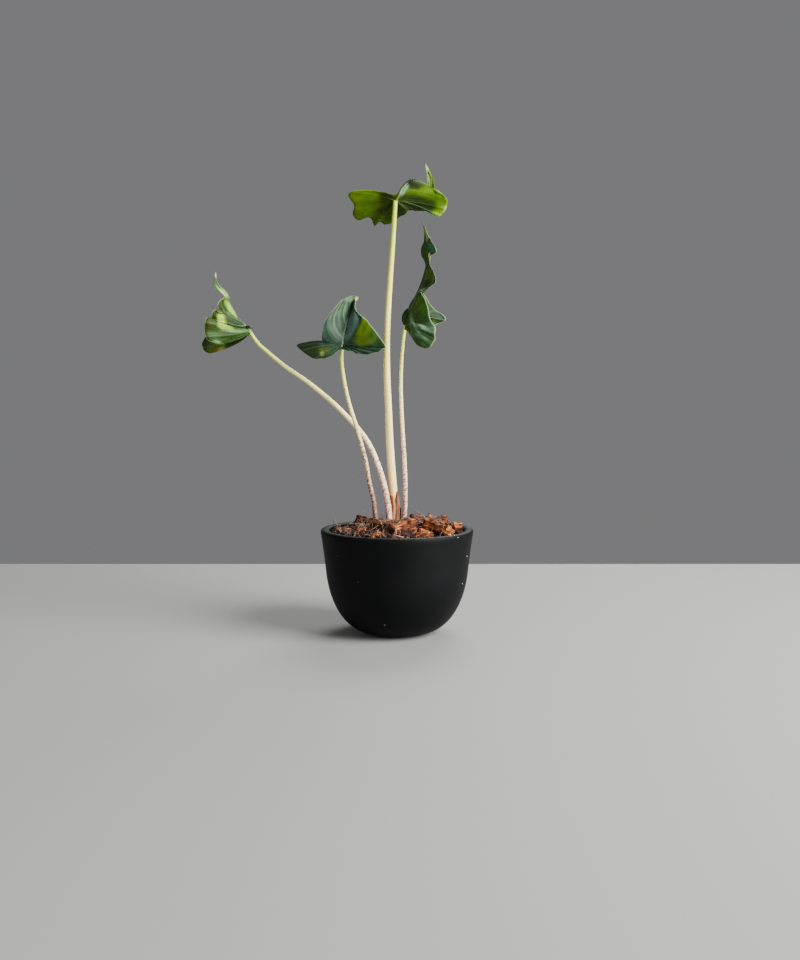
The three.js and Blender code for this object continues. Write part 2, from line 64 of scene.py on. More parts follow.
camera_data = bpy.data.cameras.new("camera")
camera_data.sensor_fit = "HORIZONTAL"
camera_data.sensor_width = SENSOR_WIDTH
camera_data.lens = SENSOR_WIDTH * FOCAL_PX / PICTURE_WIDTH_PX
camera_data.clip_start = 0.01
camera = bpy.data.objects.new("camera", camera_data)
camera.location = CAMERA_AT * MM
camera.rotation_euler = (math.radians(90 - CAMERA_DIP), 0, 0)
bpy.context.scene.collection.objects.link(camera)
bpy.context.scene.camera = camera
print("focal length", round(camera_data.lens, 2), "mm")

# %% [markdown]
# Paints are named by the sRGB hex value that the eye would pick, but shaders count in linear
# light, so one function turns the one into the other. A second adds a shader node, and takes a
# socket's name with _ for each space. Two more hold what most finishes share: noise stretched
# into a grain, and the end of a material, with its relief, its shader and the light through it.

# %% Colour and shader node helpers
COLOUR_MIX = {"data_type": "RGBA"}
MULTIPLY_MIX = {"data_type": "RGBA", "blend_type": "MULTIPLY"}
MULTIPLY_ADD = {"operation": "MULTIPLY_ADD"}


def linear(colour):
    """An sRGB hex colour as linear red, green, blue and alpha."""
    parts = [int(colour[i : i + 2], 16) / 255 for i in (1, 3, 5)]
    return [c / 12.92 if c <= 0.04045 else ((c + 0.055) / 1.055) ** 2.4 for c in parts] + [1.0]


def add_node(material, kind, settings=None, values=(), stops=(), **named):
    """Adds a node. Its inputs take values or nodes, in order or by name; stops are for a ramp."""
    node = material.node_tree.nodes.new("ShaderNode" + kind)
    for name, value in (settings or {}).items():
        setattr(node, name, value)
    given = list(zip([socket for socket in node.inputs if socket.enabled], values))
    given += [(node.inputs[name.replace("_", " ")], value) for name, value in named.items()]
    for socket, value in given:
        if isinstance(value, bpy.types.Node):
            value = next(output for output in value.outputs if output.enabled)
        if isinstance(value, bpy.types.NodeSocket):
            material.node_tree.links.new(value, socket)
        else:
            socket.default_value = value
    for number, (share, colour) in enumerate(stops):
        if number > 1:
            node.color_ramp.elements.new(share)
        node.color_ramp.elements[number].position = share
        node.color_ramp.elements[number].color = linear(colour)
    return node


def new_material(name):
    """An empty node material, to be filled from its texture to its output."""
    material = bpy.data.materials.new(name)
    material.use_nodes = True
    material.node_tree.nodes.clear()
    return material


def stretched_noise(material, vector, sizes, **named):
    """Noise whose grain has this size along each axis, in the vector's own unit."""
    scale = [1 / size for size in sizes]
    stretched = add_node(material, "Mapping", Vector=vector, Scale=scale)
    return add_node(material, "TexNoise", Vector=stretched, Scale=1.0, **named)


def end_material(material, height=None, strength=0, depth=0, glow=None, through=0, **named):
    """Ends a material: a relief this deep in mm, its shader, and a share of light through it."""
    if height:
        named["Normal"] = add_node(
            material, "Bump", Height=height, Strength=strength, Distance=depth * MM
        )
    shader = add_node(material, "BsdfPrincipled", **named)
    if glow:
        shine = add_node(material, "BsdfTranslucent", Color=glow)
        shader = add_node(material, "MixShader", values=[through, shader, shine])
    add_node(material, "OutputMaterial", Surface=shader)


def per_metre(size_mm):
    """The texture scale, in repeats per metre, of a pattern whose repeat is this many mm."""
    return 1 / (size_mm * MM)


print("leaf green in linear light:", [round(c, 3) for c in linear("#47640a")])

# %% [markdown]
# A plain pale floor catches the shadow of the pot, and ends behind it, so that the pale stalks
# stand out against grey. The plant was lit by one large window on its right, which draws a bright
# line down the right of each stalk and shines through the young leaf. A big soft lamp stands in
# for the window, a weaker one lifts the shaded side, and a third behind and above gives the leaves
# light to let through.

# %% Floor and light
FLOOR_REACH = 3000
FLOOR_BEHIND = 260
LAMPS = {
    "window": {"at": (900, -520, 620), "size": (700, 900), "watts": 58},
    "fill": {"at": (-900, -900, 500), "size": (900, 900), "watts": 4},
    "back": {"at": (250, 750, 900), "size": (600, 600), "watts": 14},
}
LAMP_AIM = Vector((0, 0, 170))
WORLD_STRENGTH = 0.53

floor_shape = bmesh.new()
bmesh.ops.create_grid(floor_shape, x_segments=1, y_segments=1, size=FLOOR_REACH * MM)
floor_shift = Vector((0, FLOOR_BEHIND - FLOOR_REACH, 0)) * MM
bmesh.ops.translate(floor_shape, vec=floor_shift, verts=floor_shape.verts)
floor_mesh = bpy.data.meshes.new("floor")
floor_shape.to_mesh(floor_mesh)
floor_shape.free()
floor = bpy.data.objects.new("floor", floor_mesh)
bpy.context.scene.collection.objects.link(floor)

floor_paint = new_material("matte_studio_floor")
end_material(floor_paint, Base_Color=linear("#888886"), Roughness=0.9)
floor_mesh.materials.append(floor_paint)

for name, lamp in LAMPS.items():
    light = bpy.data.lights.new(name, "AREA")
    light.shape = "RECTANGLE"
    light.size, light.size_y = lamp["size"][0] * MM, lamp["size"][1] * MM
    light.energy = lamp["watts"]
    holder = bpy.data.objects.new(name, light)
    holder.location = Vector(lamp["at"]) * MM
    holder.rotation_euler = (LAMP_AIM - Vector(lamp["at"])).to_track_quat("-Z", "Y").to_euler()
    bpy.context.scene.collection.objects.link(holder)

world = bpy.data.worlds.new("studio")
world.use_nodes = True
world.node_tree.nodes["Background"].inputs["Color"].default_value = linear("#a3a3a5")
world.node_tree.nodes["Background"].inputs["Strength"].default_value = WORLD_STRENGTH
bpy.context.scene.world = world
print("lamps:", ", ".join(LAMPS))

# %% [markdown]
# Stalks, leaf ribs and blade edges all follow smooth curves through a few measured points. The
# frame's solids use a centripetal Catmull-Rom curve, which never loops between close points, so
# the same curve is worked out here and the finer pieces land where the solids are.

# %% Curves through points
def between(start, end, share):
    """The value at a share of the way from one value to another."""
    return start + (end - start) * share


def vectors(points):
    """A list of points as vectors."""
    return [Vector(point) for point in points]


def curve_point(points, share):
    """The point at a share of the spans of the smooth curve through the points."""
    spans = len(points) - 1
    place = min(max(share, 0.0), 1.0) * spans
    span = min(int(place), spans - 1)
    near, far = points[span], points[span + 1]
    before = points[span - 1] if span else 2 * near - far
    after = points[span + 2] if span + 2 <= spans else 2 * far - near
    t1 = (near - before).length ** 0.5
    t2 = t1 + (far - near).length ** 0.5
    t3 = t2 + (after - far).length ** 0.5
    t = t1 + (place - span) * (t2 - t1)
    a1 = before.lerp(near, t / t1)
    a2 = near.lerp(far, (t - t1) / (t2 - t1))
    a3 = far.lerp(after, (t - t2) / (t3 - t2))
    b1 = a1.lerp(a2, t / t2)
    b2 = a2.lerp(a3, (t - t1) / (t3 - t1))
    return b1.lerp(b2, (t - t1) / (t2 - t1))


def curve_ahead(points, share):
    """The direction of that curve there."""
    return (curve_point(points, share + 1e-3) - curve_point(points, share - 1e-3)).normalized()


def curve_trail(points, steps):
    """Points along a whole curve, in even shares."""
    return [curve_point(points, i / steps) for i in range(steps + 1)]


def stations_along(points, steps):
    """Even steps along a curve: each one's centre and two directions across, and the length."""
    trail = curve_trail(points, 8 * steps)
    walked = [0.0]
    for last, here in zip(trail, trail[1:]):
        walked.append(walked[-1] + (here - last).length)
    centres = [trail[0]]
    for step in range(1, steps + 1):
        goal = walked[-1] * step / steps
        after = min(bisect.bisect_left(walked, goal), len(trail) - 1)
        short = (goal - walked[after - 1]) / (walked[after] - walked[after - 1])
        centres.append(trail[after - 1].lerp(trail[after], short))
    stations = []
    side = None
    for i, centre in enumerate(centres):
        ahead = (centres[min(i + 1, steps)] - centres[max(i - 1, 0)]).normalized()
        side = ahead.orthogonal() if side is None else side - ahead * side.dot(ahead)
        side.normalize()
        stations.append((centre, side.copy(), ahead.cross(side)))
    return stations, walked[-1]


# %% [markdown]
# Most pieces here are a bent sheet or a bent tube, and both are a grid of faces whose corners are
# moved into place. Laying the UV map on the flat grid first means that a pattern follows the leaf
# or the stalk however it curls. Corners that meet, at a seam or a tip, are then merged.

# %% Bent grids and tubes
WELD = 0.005
UV_NAME = "UVMap"


def mapped_grid(bm, columns, rows, shape, uv, material=0):
    """Adds a grid, each corner moved by shape(corner, across, along), both shares from 0 to 1."""
    layer = bm.loops.layers.uv.get(UV_NAME) or bm.loops.layers.uv.new(UV_NAME)
    corners = bmesh.ops.create_grid(bm, x_segments=columns, y_segments=rows, size=0.5)["verts"]
    spots = {
        corner: (
            round((corner.co.x + 0.5) * columns) / columns,
            round((corner.co.y + 0.5) * rows) / rows,
        )
        for corner in corners
    }
    faces = list(dict.fromkeys(face for corner in corners for face in corner.link_faces))
    for face in faces:
        face.material_index = material
        for loop in face.loops:
            loop[layer].uv = uv(*spots[loop.vert])
    for corner in corners:
        shape(corner, *spots[corner])
    bmesh.ops.remove_doubles(bm, verts=corners, dist=WELD)
    return [face for face in faces if face.is_valid]


def give_wall(bm, sheet, thickness_at, material=0):
    """Makes a sheet solid: a copy of it is pushed down, joined at the edge and turned over."""
    lower = bmesh.ops.extrude_face_region(bm, geom=sheet, use_keep_orig=True)["geom"]
    bm.normal_update()
    for corner in [part for part in lower if isinstance(part, bmesh.types.BMVert)]:
        corner.co -= corner.normal * thickness_at(corner)
    for face in [part for part in lower if isinstance(part, bmesh.types.BMFace)]:
        face.material_index = material
    bmesh.ops.recalc_face_normals(bm, faces=bm.faces)


def tube(bm, points, radius_at, steps, sides, material=0):
    """Adds a closed tube along a curve, its UV map in mm round it and along it: its corners."""
    stations, length = stations_along(points, steps)

    def shape(corner, across, along):
        centre, side, up = stations[round(along * steps)]
        turn = math.tau * across
        corner.co = centre + (side * math.cos(turn) + up * math.sin(turn)) * radius_at(along)

    girth = math.tau * radius_at(0.5)
    faces = mapped_grid(
        bm, sides, steps, shape, lambda across, along: (across * girth, along * length), material
    )
    ends = dict.fromkeys(edge for face in faces for edge in face.edges if edge.is_boundary)
    bmesh.ops.holes_fill(bm, edges=list(ends), sides=0)
    return list(dict.fromkeys(corner for face in faces for corner in face.verts))


def finish_piece(name, bm, materials, slot, *nodes):
    """Makes a bmesh in mm a smooth piece of the plant, in place of the frame's nodes."""
    bmesh.ops.scale(bm, vec=(MM, MM, MM), verts=bm.verts)
    mesh = bpy.data.meshes.new(name)
    bm.to_mesh(mesh)
    bm.free()
    mesh.polygons.foreach_set("use_smooth", [True] * len(mesh.polygons))
    for material in materials:
        mesh.materials.append(material)
    piece = bpy.data.objects.new(name, mesh)
    bpy.context.scene.collection.objects.link(piece)
    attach(piece, "root")
    if nodes:
        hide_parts(*nodes)
    print(name, len(mesh.polygons), "faces")
    return piece


# %% [markdown]
# The pot is one injection moulding: a bowl on a small flat foot, with a thick rounded lip. A lathe
# shape needs only its half outline, so the outline is drawn as edges and spun once round the axis.
# Its curve runs through the same points as the frame's pot, with a finer step.

# %% Pot outline
FOOT_RADIUS = 18
FLOOR_Z = 6
POT_CURVE = [
    (FOOT_RADIUS, 0), (27, 2.9), (34.2, 8.4), (39.4, 15.8), (43.2, 24.5), (45.8, 35), (47.3, 48),
    (49, 61), (49.7, 66), (49.5, 67.4), (48.6, 68), (45.4, 68), (44.5, 67.5), (44.2, 66.4),
    (43.5, 61), (42, 48), (40.2, 35), (37.2, 24.5), (32.4, 15.4), (24, 8.6), (13, FLOOR_Z),
]
POT_CURVE_STEPS = 110
POT_SPIN_STEPS = 144

pot_points = [Vector((radius, 0, z)) for radius, z in POT_CURVE]
outline = [Vector((0, 0, 0)), *curve_trail(pot_points, POT_CURVE_STEPS), Vector((0, 0, FLOOR_Z))]
print("the pot is", max(point.x for point in outline) * 2, "mm across")

# %% Pot shape
pot_shape = bmesh.new()
corners = [pot_shape.verts.new(point) for point in outline]
edges = [pot_shape.edges.new(pair) for pair in zip(corners, corners[1:])]
bmesh.ops.spin(
    pot_shape,
    geom=corners + edges,
    cent=(0, 0, 0),
    axis=(0, 0, 1),
    angle=math.tau,
    steps=POT_SPIN_STEPS,
    use_merge=True,
)
bmesh.ops.remove_doubles(pot_shape, verts=pot_shape.verts, dist=WELD)
bmesh.ops.recalc_face_normals(pot_shape, faces=pot_shape.faces)

# %% [markdown]
# A few pale grains of dust and husk stick to the front of the pot and to its rim. Each is a tiny
# flattened ball, sunk half into the wall. They are placed by their height and by how far to the
# right they lie, and the wall's own outline gives how far out they are.

# %% Dust grains on the pot
DUST_GRAINS = [
    (-7.6, 12.5, 0.42), (-13.8, 4.6, 0.36), (44.6, 52.5, 0.45), (41.6, 35.2, 0.4),
    (37.8, 66.6, 0.45), (33.2, 68.1, 0.5), (35.6, 68.1, 0.35), (12.5, 27, 0.22), (-24, 40, 0.2),
    (30, 18.5, 0.25), (-37, 55, 0.2), (20, 8.4, 0.22),
]


def wall_radius(height):
    """How far out the pot's outer wall is at a height."""
    outside = outline[1 : POT_CURVE_STEPS // 2 + 1]
    return min(outside, key=lambda point: abs(point.z - height)).x


for right, height, size in DUST_GRAINS:
    radius = wall_radius(height)
    grain = bmesh.ops.create_icosphere(pot_shape, subdivisions=1, radius=size)["verts"]
    bmesh.ops.scale(pot_shape, vec=(1, 0.6, 0.7), verts=grain)
    place = Vector((right, -math.sqrt(radius**2 - right**2), height))
    bmesh.ops.translate(pot_shape, vec=place, verts=grain)
    for face in dict.fromkeys(face for corner in grain for face in corner.link_faces):
        face.material_index = 1
print(len(DUST_GRAINS), "grains of dust")

# %% [markdown]
# The pot is black polypropylene from a finely etched mould. The eye sees a deep, soft black with
# one broad sheen, a shade warmer where the window falls on it, and a faint cloudiness where it has
# been handled. The etching is about 0.25 mm, too fine to show, so it is drawn at 0.6 mm.

# %% Pot finish
ETCH_GRAIN = 0.6
HANDLING_CLOUDS = 22
DUST_SPECKLE = 0.5

pot_finish = new_material("moulded_black_polypropylene")
place = add_node(pot_finish, "TexCoord").outputs["Object"]
clouds = add_node(pot_finish, "TexNoise", Vector=place, Scale=per_metre(HANDLING_CLOUDS), Detail=4.0)
etching = add_node(pot_finish, "TexNoise", Vector=place, Scale=per_metre(ETCH_GRAIN), Detail=2.0)
black = add_node(pot_finish, "ValToRGB", Fac=clouds, stops=[(0.3, "#010203"), (0.7, "#050506")])
sheen = add_node(pot_finish, "MapRange", Value=clouds, To_Min=0.52, To_Max=0.64)
end_material(
    pot_finish, etching, 0.25, 0.05, Base_Color=black, Roughness=sheen, Specular_IOR_Level=0.12
)

dust_finish = new_material("dry_dust")
place = add_node(dust_finish, "TexCoord").outputs["Object"]
speckle = add_node(dust_finish, "TexNoise", Vector=place, Scale=per_metre(DUST_SPECKLE))
pale = add_node(dust_finish, "ValToRGB", Fac=speckle, stops=[(0.35, "#6f6a62"), (0.65, "#c9c5ba")])
end_material(dust_finish, Base_Color=pale, Roughness=0.95)
finish_piece("bowl_pot", pot_shape, [pot_finish, dust_finish], "pot", "pot")

# %% [markdown]
# The corm is the short woody stem that all the stalks grow from. It is buried, and the frame's
# solid already has its shape, so only its finish is made: brown skin with rings left by old
# leaves. The rings are noise squeezed along the height.

# %% Corm finish
RING_HEIGHT = 1.6
RING_RUN = 9

corm_finish = new_material("corm_skin")
place = add_node(corm_finish, "TexCoord").outputs["Object"]
ring_sizes = (RING_RUN * MM, RING_RUN * MM, RING_HEIGHT * MM)
rings = stretched_noise(corm_finish, place, ring_sizes, Detail=5.0)
brown = add_node(corm_finish, "ValToRGB", Fac=rings, stops=[(0.35, "#3a2415"), (0.65, "#8a6543")])
end_material(corm_finish, rings, 0.8, 0.5, Base_Color=brown, Roughness=0.85)
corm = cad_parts["corm"]
corm.data.materials.clear()
corm.data.materials.append(corm_finish)
print("the corm keeps its solid, with", corm_finish.name)

# %% [markdown]
# Four stalks rise from the corm. Each is a round, tapering, juicy leaf stalk that curves to meet
# its leaf, so a tube along a curve is the natural way to make it. The tallest is the thickest.
# An attribute called height, from 0 at the foot to 1 at the leaf, lets the finish change on the
# way up.

# %% Stalk curves
STALKS = {
    "center": {
        "radii": (2.9, 1.4),
        "points": [
            (-2.5, 2, 57.3), (-1.5, 2, 83), (-2.5, 2, 93), (-4.5, 2, 120.5), (-5.5, 1, 144),
            (-6.5, 0.5, 168), (-6.5, 0, 190.5), (-5.5, 0, 212.5), (-4, 0, 234.5),
            (-2.5, 0, 255), (-1, 0, 278.3),
        ],
    },
    "right": {
        "radii": (1.6, 1),
        "points": [
            (2.2, 4, 57.3), (5, 5, 78.5), (5.5, 5, 93), (5, 5, 109.5), (4, 5, 125.5),
            (3, 5, 144), (2.5, 5, 161.5), (3, 5, 177.5), (4, 4.8, 190), (4.9, 4.9, 196.5),
            (5.6, 5.4, 200.2), (5.4, 5.6, 202.9),
        ],
    },
    "far_left": {
        "radii": (2.2, 1.1),
        "points": [
            (-4.8, -4.2, 57.3), (-5.3, -4.2, 79), (-6.8, -4, 89), (-9, -3, 99),
            (-12, -2, 108.5), (-15.5, -1, 117.5), (-20, 0, 126), (-26.5, 1, 134.5),
            (-34.5, 1, 143), (-44.5, 1, 152.5), (-59.5, 1, 164.5), (-72.5, 1, 173.5),
            (-83.5, 1, 182.5), (-90, 1, 188.5), (-95, 1, 195.8),
        ],
    },
    "mid_left": {
        "radii": (1.6, 1.1),
        "points": [
            (-8.5, -1.5, 57.3), (-12.6, -8, 70), (-14, -9, 78), (-15, -9, 87.5),
            (-17.5, -9, 97.5), (-19.5, -9, 110), (-22.5, -9, 122.5), (-26, -9, 135),
            (-29.5, -9.5, 146), (-32, -10, 156), (-34, -11, 166.5), (-35, -11.5, 176.5),
            (-35, -10.6, 181.5), (-34.8, -10.6, 184.5), (-34.5, -11.4, 186.3),
        ],
    },
}
STALK_SIDES = 28
STALK_STEPS = 160


def stalk_shape(stalk):
    """One stalk as a closed, gently uneven tube with its height attribute."""
    bm = bmesh.new()
    points = vectors(stalk["points"])
    tube(bm, points, lambda along: between(*stalk["radii"], along), STALK_STEPS, STALK_SIDES)
    foot, top = points[0].z, points[-1].z
    height = bm.verts.layers.float.new("height")
    bm.normal_update()
    for corner in bm.verts:
        corner[height] = (corner.co.z - foot) / (top - foot)
        corner.co += corner.normal * 0.06 * noise.noise(corner.co * 0.25)
    bmesh.ops.recalc_face_normals(bm, faces=bm.faces)
    return bm


# %% [markdown]
# The tallest stalk is smooth and waxy: brown where it is buried, cream above that, and slowly
# turning yellow-green towards the leaf, with faint lengthwise lines where its vessels run. The
# lines are noise on the UV map, stretched along the stalk.

# %% Cream stalk finish
VESSEL_SPACING = 0.9
VESSEL_LENGTH = 60

cream_stalk = new_material("waxy_cream_stalk")
height = add_node(cream_stalk, "Attribute", {"attribute_name": "height"}).outputs["Fac"]
cream_stops = [
    (0.0, "#a05a2a"), (0.09, "#d89c50"), (0.15, "#f8d68c"), (0.3, "#ffe79a"),
    (0.6, "#fbec86"), (0.82, "#e4e450"), (0.97, "#b8cc30"),
]
blend = add_node(cream_stalk, "ValToRGB", Fac=height, stops=cream_stops)
flat = add_node(cream_stalk, "UVMap", {"uv_map": UV_NAME})
vessels = stretched_noise(cream_stalk, flat, (VESSEL_SPACING, VESSEL_LENGTH, 1), Detail=3.0)
lines = add_node(cream_stalk, "MapRange", Value=vessels, From_Min=0.5, From_Max=0.75, To_Max=0.3)
streaked = add_node(cream_stalk, "Mix", COLOUR_MIX, [lines, blend, linear("#b5a86a")])
end_material(
    cream_stalk, vessels, 0.3, 0.1, Base_Color=streaked, Roughness=0.42, Specular_IOR_Level=0.35,
    Subsurface_Weight=0.06, Subsurface_Radius=(1.2 * MM, 1.0 * MM, 0.4 * MM), Subsurface_Scale=1.0,
)
center_stalk = stalk_shape(STALKS["center"])
finish_piece("stalk_center", center_stalk, [cream_stalk], "stalk_cream", "petiole_center")

# %% [markdown]
# The three thinner stalks give the plant its name: they are pink, with mauve-brown marks that lie
# crosswise like the bands of a snake. The marks crowd together towards the foot and fade out in
# the yellow-green under the leaf. Real marks are about 0.5 mm high, and are drawn a little larger
# so that they show. They are noise squeezed along the stalk, and the height attribute sets how
# much of it counts as a mark.

# %% Speckled stalk finish
MARK_WIDTH = 2.1
MARK_HEIGHT = 1.35


def speckled_stalk(name, skin, mark_colour, crowding):
    """A stalk's skin by height, with crosswise marks that crowd towards its foot."""
    material = new_material(name)
    height = add_node(material, "Attribute", {"attribute_name": "height"}).outputs["Fac"]
    skin_colour = add_node(material, "ValToRGB", Fac=height, stops=skin)
    flat = add_node(material, "UVMap", {"uv_map": UV_NAME})
    sizes = (MARK_WIDTH, MARK_HEIGHT, 1)
    bands = stretched_noise(material, flat, sizes, Detail=3.0, Roughness=0.7, Distortion=0.6)
    at_foot = 0.53 - 0.07 * crowding
    threshold = add_node(material, "MapRange", Value=height, From_Min=0.15, To_Min=at_foot, To_Max=0.66)
    over = add_node(material, "Math", {"operation": "SUBTRACT"}, [bands, threshold])
    marks = add_node(material, "MapRange", Value=over, From_Min=-0.01, From_Max=0.05, To_Max=0.85)
    marked = add_node(material, "Mix", COLOUR_MIX, [marks, skin_colour, linear(mark_colour)])
    end_material(
        material, bands, 0.4, 0.12, Base_Color=marked, Roughness=0.48, Subsurface_Weight=0.05,
        Subsurface_Radius=(1.2 * MM, 0.8 * MM, 0.5 * MM), Subsurface_Scale=1.0,
    )
    return material


pink_skin = [
    (0.0, "#cf9684"), (0.15, "#f0c2ae"), (0.4, "#fadcb4"), (0.7, "#f6ea94"), (0.95, "#cad84e"),
]
dusky_skin = [
    (0.0, "#71463a"), (0.15, "#ad7c66"), (0.4, "#e8c898"), (0.7, "#f2e690"), (0.95, "#d0dc50"),
]
SPECKLED = {
    "right": speckled_stalk("speckled_pink_stalk", pink_skin, "#75473a", 0.8),
    "far_left": speckled_stalk("speckled_rose_stalk", pink_skin, "#7f5348", 0.7),
    "mid_left": speckled_stalk("speckled_dusky_stalk", dusky_skin, "#4a2a22", 1.7),
}
for name, material in SPECKLED.items():
    shape = stalk_shape(STALKS[name])
    finish_piece(f"stalk_{name}", shape, [material], "stalk_pink", f"petiole_{name}")

# %% [markdown]
# A dead sheath leaf still wraps the foot of the tallest stalk. It is papery, split down the front
# and torn along its top. It is a sheet bent round the stalk's own curve, given a thin wall, with a
# ripple so that it doesn't read as a pipe. Its left side has dried orange, its right side
# red-brown, so each corner carries its own paint.

# %% Dry sheath shape
SHEATH_RADIUS = 3.35
SHEATH_WALL = 0.3
SHEATH_FROM = 66
SHEATH_START = -72
SHEATH_SWEEP = 336
SHEATH_TOPS = [87, 92.4, 91.5, 88, 85, 83, 84.5, 86, 85.5, 88.5, 91, 90.5, 89]
SHEATH_COLUMNS = 72
SHEATH_ROWS = 30
SHEATH_PAINT = ["#8a4a2a", "#6a240a", "#8a4a2a", "#6f4128", "#80502e", "#c0702a", "#dd9040"]
SHEATH_GIRTH = 22
SHEATH_HEIGHT = 25
FRAY_TOP, FRAY_DEPTH = 93, 9
TRAIL_STEPS = 600
NEARLY_ALL = 0.9999

sheath_shape = bmesh.new()
sheath_paint = sheath_shape.verts.layers.float_color.new("paint")
center_trail = curve_trail(vectors(STALKS["center"]["points"]), TRAIL_STEPS)


def mix_of(colours, share):
    """The linear colour at a share of the way through a list of hex colours."""
    place = min(max(share, 0.0), NEARLY_ALL) * (len(colours) - 1)
    before, after = (Vector(linear(colours[int(place) + step])) for step in (0, 1))
    return before.lerp(after, place - int(place))


def torn_sheath(corner, across, along):
    """Bends the sheath's grid round the stalk, up to its torn top."""
    place = min(across, NEARLY_ALL) * (len(SHEATH_TOPS) - 1)
    top = between(*SHEATH_TOPS[int(place) : int(place) + 2], place - int(place))
    top += 0.9 * noise.noise(Vector((across * 40, 3, 0)))
    height = between(SHEATH_FROM, top, along)
    centre = min(center_trail, key=lambda point: abs(point.z - height))
    turn = math.radians(SHEATH_START + SHEATH_SWEEP * across)
    ripple = 0.14 * noise.noise(Vector((across * 22, height * 0.08, 5)))
    radius = SHEATH_RADIUS + ripple + 0.25 * along**4
    corner.co = Vector((centre.x, centre.y, height))
    corner.co += Vector((math.cos(turn), math.sin(turn), 0)) * radius
    shade = mix_of(SHEATH_PAINT, across)
    frayed = 2.5 * noise.noise(Vector((across * 55, height * 0.12, 2)))
    frayed *= min(1, (FRAY_TOP - height) / FRAY_DEPTH)
    shade = shade.lerp(Vector(linear("#dcae72")), min(0.8, max(0, frayed)))
    dry_tip = max(0, 1 - across * 6) * along**3
    corner[sheath_paint] = shade.lerp(Vector(linear("#2a140d")), dry_tip)


sheet = mapped_grid(
    sheath_shape, SHEATH_COLUMNS, SHEATH_ROWS, torn_sheath,
    lambda across, along: (across * SHEATH_GIRTH, along * SHEATH_HEIGHT),
)
give_wall(sheath_shape, sheet, lambda corner: SHEATH_WALL)
print("sheath corners", len(sheath_shape.verts))

# %% [markdown]
# Dead leaf tissue is all lengthwise fibres, with lighter and darker threads about 0.45 mm apart.
# The same finish, with its own paint, serves the stump of the leaf that has rotted away behind
# the stalks.

# %% Dry leaf tissue
THREAD_SPACING = 0.45
THREAD_LENGTH = 9

dry_tissue = new_material("dry_leaf_tissue")
paint = add_node(dry_tissue, "Attribute", {"attribute_name": "paint"})
flat = add_node(dry_tissue, "UVMap", {"uv_map": UV_NAME})
threads = stretched_noise(
    dry_tissue, flat, (THREAD_SPACING, THREAD_LENGTH, 1), Detail=4.0, Roughness=0.6
)
thread_stops = [(0.3, "#4a423e"), (0.5, "#bcb4ac"), (0.68, "#ffffff")]
shade = add_node(dry_tissue, "ValToRGB", Fac=threads, stops=thread_stops)
striped = add_node(dry_tissue, "Mix", MULTIPLY_MIX, [0.85, paint, shade])
end_material(dry_tissue, threads, 0.8, 0.2, Base_Color=striped, Roughness=0.8)
finish_piece("papery_sheath", sheath_shape, [dry_tissue], "sheath", "dry_sheath")

# %% Old leaf stump
STUMP = [(1.5, 7.6, 62), (1.6, 7.9, 72), (1.65, 8, 80.5)]
STUMP_RADII = (1.4, 1.15)
STUMP_STEPS, STUMP_SIDES = 30, 18
STUMP_BREAK = 74
STUMP_FADE = 18

stump_shape = bmesh.new()
stump_curve = vectors(STUMP)
tube(stump_shape, stump_curve, lambda along: between(*STUMP_RADII, along), STUMP_STEPS, STUMP_SIDES)
stump_paint = stump_shape.verts.layers.float_color.new("paint")
foot, top = STUMP[0][2], STUMP[-1][2]
for corner in stump_shape.verts:
    ragged = noise.noise(Vector((corner.co.x * 2.2, corner.co.y * 2.2, 1)))
    corner.co.z += 1.2 * ragged * max(0, (corner.co.z - STUMP_BREAK) / (top - STUMP_BREAK))
    spot = corner.co * 0.6
    dent = Vector((noise.noise(spot), noise.noise(spot + Vector((9, 0, 0))), 0))
    corner.co += dent * 0.2
    corner[stump_paint] = mix_of(["#5e3422", "#2c130c"], (corner.co.z - foot) / STUMP_FADE)
finish_piece("old_leaf_stump", stump_shape, [dry_tissue], "stub", "old_leaf_stub")
